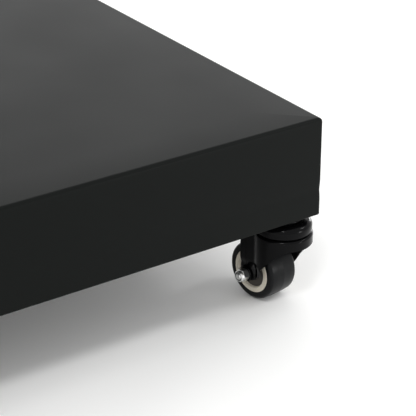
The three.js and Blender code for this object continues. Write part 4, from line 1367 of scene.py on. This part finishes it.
class SCALE_OT_fittings(bpy.types.Operator):
    """Builds what is fitted to the case: knobs, door, battery, board, inlet, rocker and gland"""
    bl_idname = "scale.fittings"
    bl_label = "Indicator fittings"

    def execute(self, context):
        self.knobs()
        self.door()
        self.insides()
        self.inlet()
        self.rocker()
        self.gland()
        return {"FINISHED"}

    def knobs(self):
        for side, name in ((1, "tilt_knob_right"), (-1, "tilt_knob_left")):
            place = tilted() @ turn(90 * side, "Y") @ shift(z=128.6 * MM)
            piece(name + "_moulded", self.knob(), place, name, "dark_grey_plastic", name)

    def knob(self):
        """Six-lobed hand knob with a dished face, a boss and its threaded shank."""
        def lobes(scale):
            return lambda a: 16 * scale * (0.92 + 0.08 * math.cos(6 * a))

        side = (
            (0.86, 3), (0.95, 3.4), (1.0, 4.8), (1.0, 12.4),
            (0.97, 14.2), (0.88, 15.6), (0.78, 16), (0.6, 15.2),
        )
        grip = skin([circle(lobes(scale), up, 120) for scale, up in side])
        cap = turned([(0, 14.4), (6.2, 14.4), (6.6, 15), (6.2, 15.6), (0, 15.8)], 64)
        boss = turned([(0, 0), (9, 0), (9.4, 0.5), (9.6, 3.6), (0, 3.6)], 64)
        shank = turned([(0, -11.3), (3.4, -11.3), (4, -10.7), (4, 1), (0, 1)], 48)
        return merged(grip, cap, boss, shank)

    def door(self):
        """Battery door with its latch and a patch of grip ribs, moulded as one."""
        panel = plate(DOOR[0] / 2 - 0.1, DOOR[1] / 2 - 0.1, 0, 2.15, 1.6, 0.35)
        place = on_case(1, 0, CASE[1] / 2 - 2.2, DOOR_UP)
        piece("battery_door_moulded", panel, place, "battery_door", "light_grey_abs", "battery_door")
        axes = place.to_3x3()
        low = -1 if (axes @ Vector((0, 1, 0))).z > 0 else 1
        points = [place @ Vector((0, low * (20 + 2.2 * k) * MM, 2.1 * MM)) for k in range(5)]
        rib, out = plate(14, 0.6, 0, 0.5, 0.5, 0.3, 4), axes @ Vector((0, 0, 1))
        repeat("battery_door_ribs", rib, points, "battery_door", "light_grey_abs", out)

    def insides(self):
        """Board with its chips, and the sealed battery in its compartment."""
        finished("circuit_board", "indicator", "circuit_board_green", 0.2)
        chips = []
        for x, y, half_w, half_d in (
            (60, 30, 9, 9), (78, -8, 6, 4), (60, -30, 5, 3.2),
            (-70, 20, 7, 5), (-62, -40, 8, 3), (84, 48, 4, 4),
        ):
            chips.append(moved(plate(half_w, half_d, 0, 1.6, 0.5, 0.2), shift(x, y)))
        place = on_case(1, 0, -13.1, 0)
        piece("circuit_board_chips", merged(*chips), place, "indicator", "dark_grey_plastic")
        finished("battery_pack", "indicator", "battery_case", 1.6)

    def inlet(self):
        """Barrel socket in a rectangular surround, with its centre pin."""
        place = on_case(1, SIDE_X, CASE[1] / 2, FITTING_UP)
        bore = moved(turned([(0, 0), (2.9, 0), (2.9, 9), (0, 9)], 48), shift(z=-6))
        hole = make("cutter", bore, finish("zinc_plate"), place)
        surround = plate(10, 8.5, 0.35, 2.3, 2, 0.5)
        body = block((-6.9, -5.4, -9.5), (6.9, 5.4, 0.6), 0.4)
        made = make("power_inlet_moulded", merged(surround, body), finish("dark_grey_plastic"), place)
        declare(carve(made, hole), "indicator", "dark_grey_plastic", "power_inlet")
        pin = turned([(0, -6.2), (1, -6.2), (1, 0.9), (0.6, 1.4), (0, 1.4)], 32)
        piece("power_inlet_pin", pin, place, "indicator", "zinc_plate")

    def rocker(self):
        """Rocker with a hollowed face and the usual stroke and ring."""
        pivot = Matrix.Translation(JOINTS["power_rocker_switch"]["pos_m"])
        place = pivot @ turn(-REST_TILT - ROCKER_OFF, "X") @ facing(1)
        rings = []
        for inset, dish in ((0, -2.5), (0, 1.9), (0.5, 2.5), (1.6, 2.5), (3.2, 2.2)):
            loop = rounded_loop(6.3 - inset, 8.9 - inset, 0.9 if inset < 1 else 0.4, 4)
            rings.append([(x, y, dish) for x, y in loop])
        piece("power_rocker_moulded", skin(rings), place, "power_rocker", "dark_grey_plastic", "power_rocker")
        stroke = slab([(-0.3, 3.4), (0.3, 3.4), (0.3, 5.8), (-0.3, 5.8)], 0.1)
        ring = moved(turned([(0.95, 0), (1.4, 0), (1.4, 0.1), (0.95, 0.1)], 32, True), shift(y=-4.6))
        marks = moved(merged(stroke, ring), shift(z=2.2))
        piece("power_rocker_marks", marks, place, "power_rocker", "dark_grey_plastic", look="key_print")

    def gland(self):
        """Cable gland with a ribbed cap."""
        place = on_case(1, -SIDE_X, CASE[1] / 2, WINDOW_UP)
        profile = [
            (2, -3.9), (5.9, -3.9), (5.9, 0.3), (8.1, 0.3), (8.5, 0.7), (8.5, 4.6), (7.9, 5), (6.6, 5.4),
            (6.2, 13.2), (4, 15.9), (2.4, 15.9), (2, 15.4),
        ]
        body = turned(profile, 72, True)
        piece("cable_gland_moulded", body, place, "indicator", "dark_grey_plastic", "cable_gland")
        ribs = [moved(block((6.1, -0.5, 5.6), (7, 0.5, 13), 0.2, 1), turn(30 * k, "Z")) for k in range(12)]
        piece("cable_gland_ribs", merged(*ribs), place, "indicator", "dark_grey_plastic")


# ---------------------------------------------------------------- panel and registration

OPERATORS = (
    SCALE_OT_stage,
    SCALE_OT_platform_cover,
    SCALE_OT_castors,
    SCALE_OT_frames,
    SCALE_OT_column,
    SCALE_OT_case,
    SCALE_OT_display,
    SCALE_OT_keypad,
    SCALE_OT_fittings,
)


class SCALE_PT_panel(bpy.types.Panel):
    """Sidebar panel with the settings and the steps"""
    bl_idname = "SCALE_PT_panel"
    bl_label = "Counting scale"
    bl_space_type = "VIEW_3D"
    bl_region_type = "UI"
    bl_category = "Scale"

    def draw(self, context):
        layout = self.layout
        for group in (context.scene.scale_sizes, context.scene.scale_colours):
            box = layout.box()
            for name in group.__annotations__:
                box.prop(group, name)
        for operator in OPERATORS:
            layout.operator(operator.bl_idname)


CLASSES = (ScaleSizes, ScaleColours, *OPERATORS, SCALE_PT_panel)


def register():
    for cls in CLASSES:
        bpy.utils.register_class(cls)
    bpy.types.Scene.scale_sizes = PointerProperty(type=ScaleSizes)
    bpy.types.Scene.scale_colours = PointerProperty(type=ScaleColours)


def unregister():
    del bpy.types.Scene.scale_colours
    del bpy.types.Scene.scale_sizes
    for cls in reversed(CLASSES):
        bpy.utils.unregister_class(cls)


def main():
    """Builds every piece in order."""
    register()
    for operator in OPERATORS:
        group, name = operator.bl_idname.split(".")
        getattr(getattr(bpy.ops, group), name)()


if __name__ == "__main__":
    main()
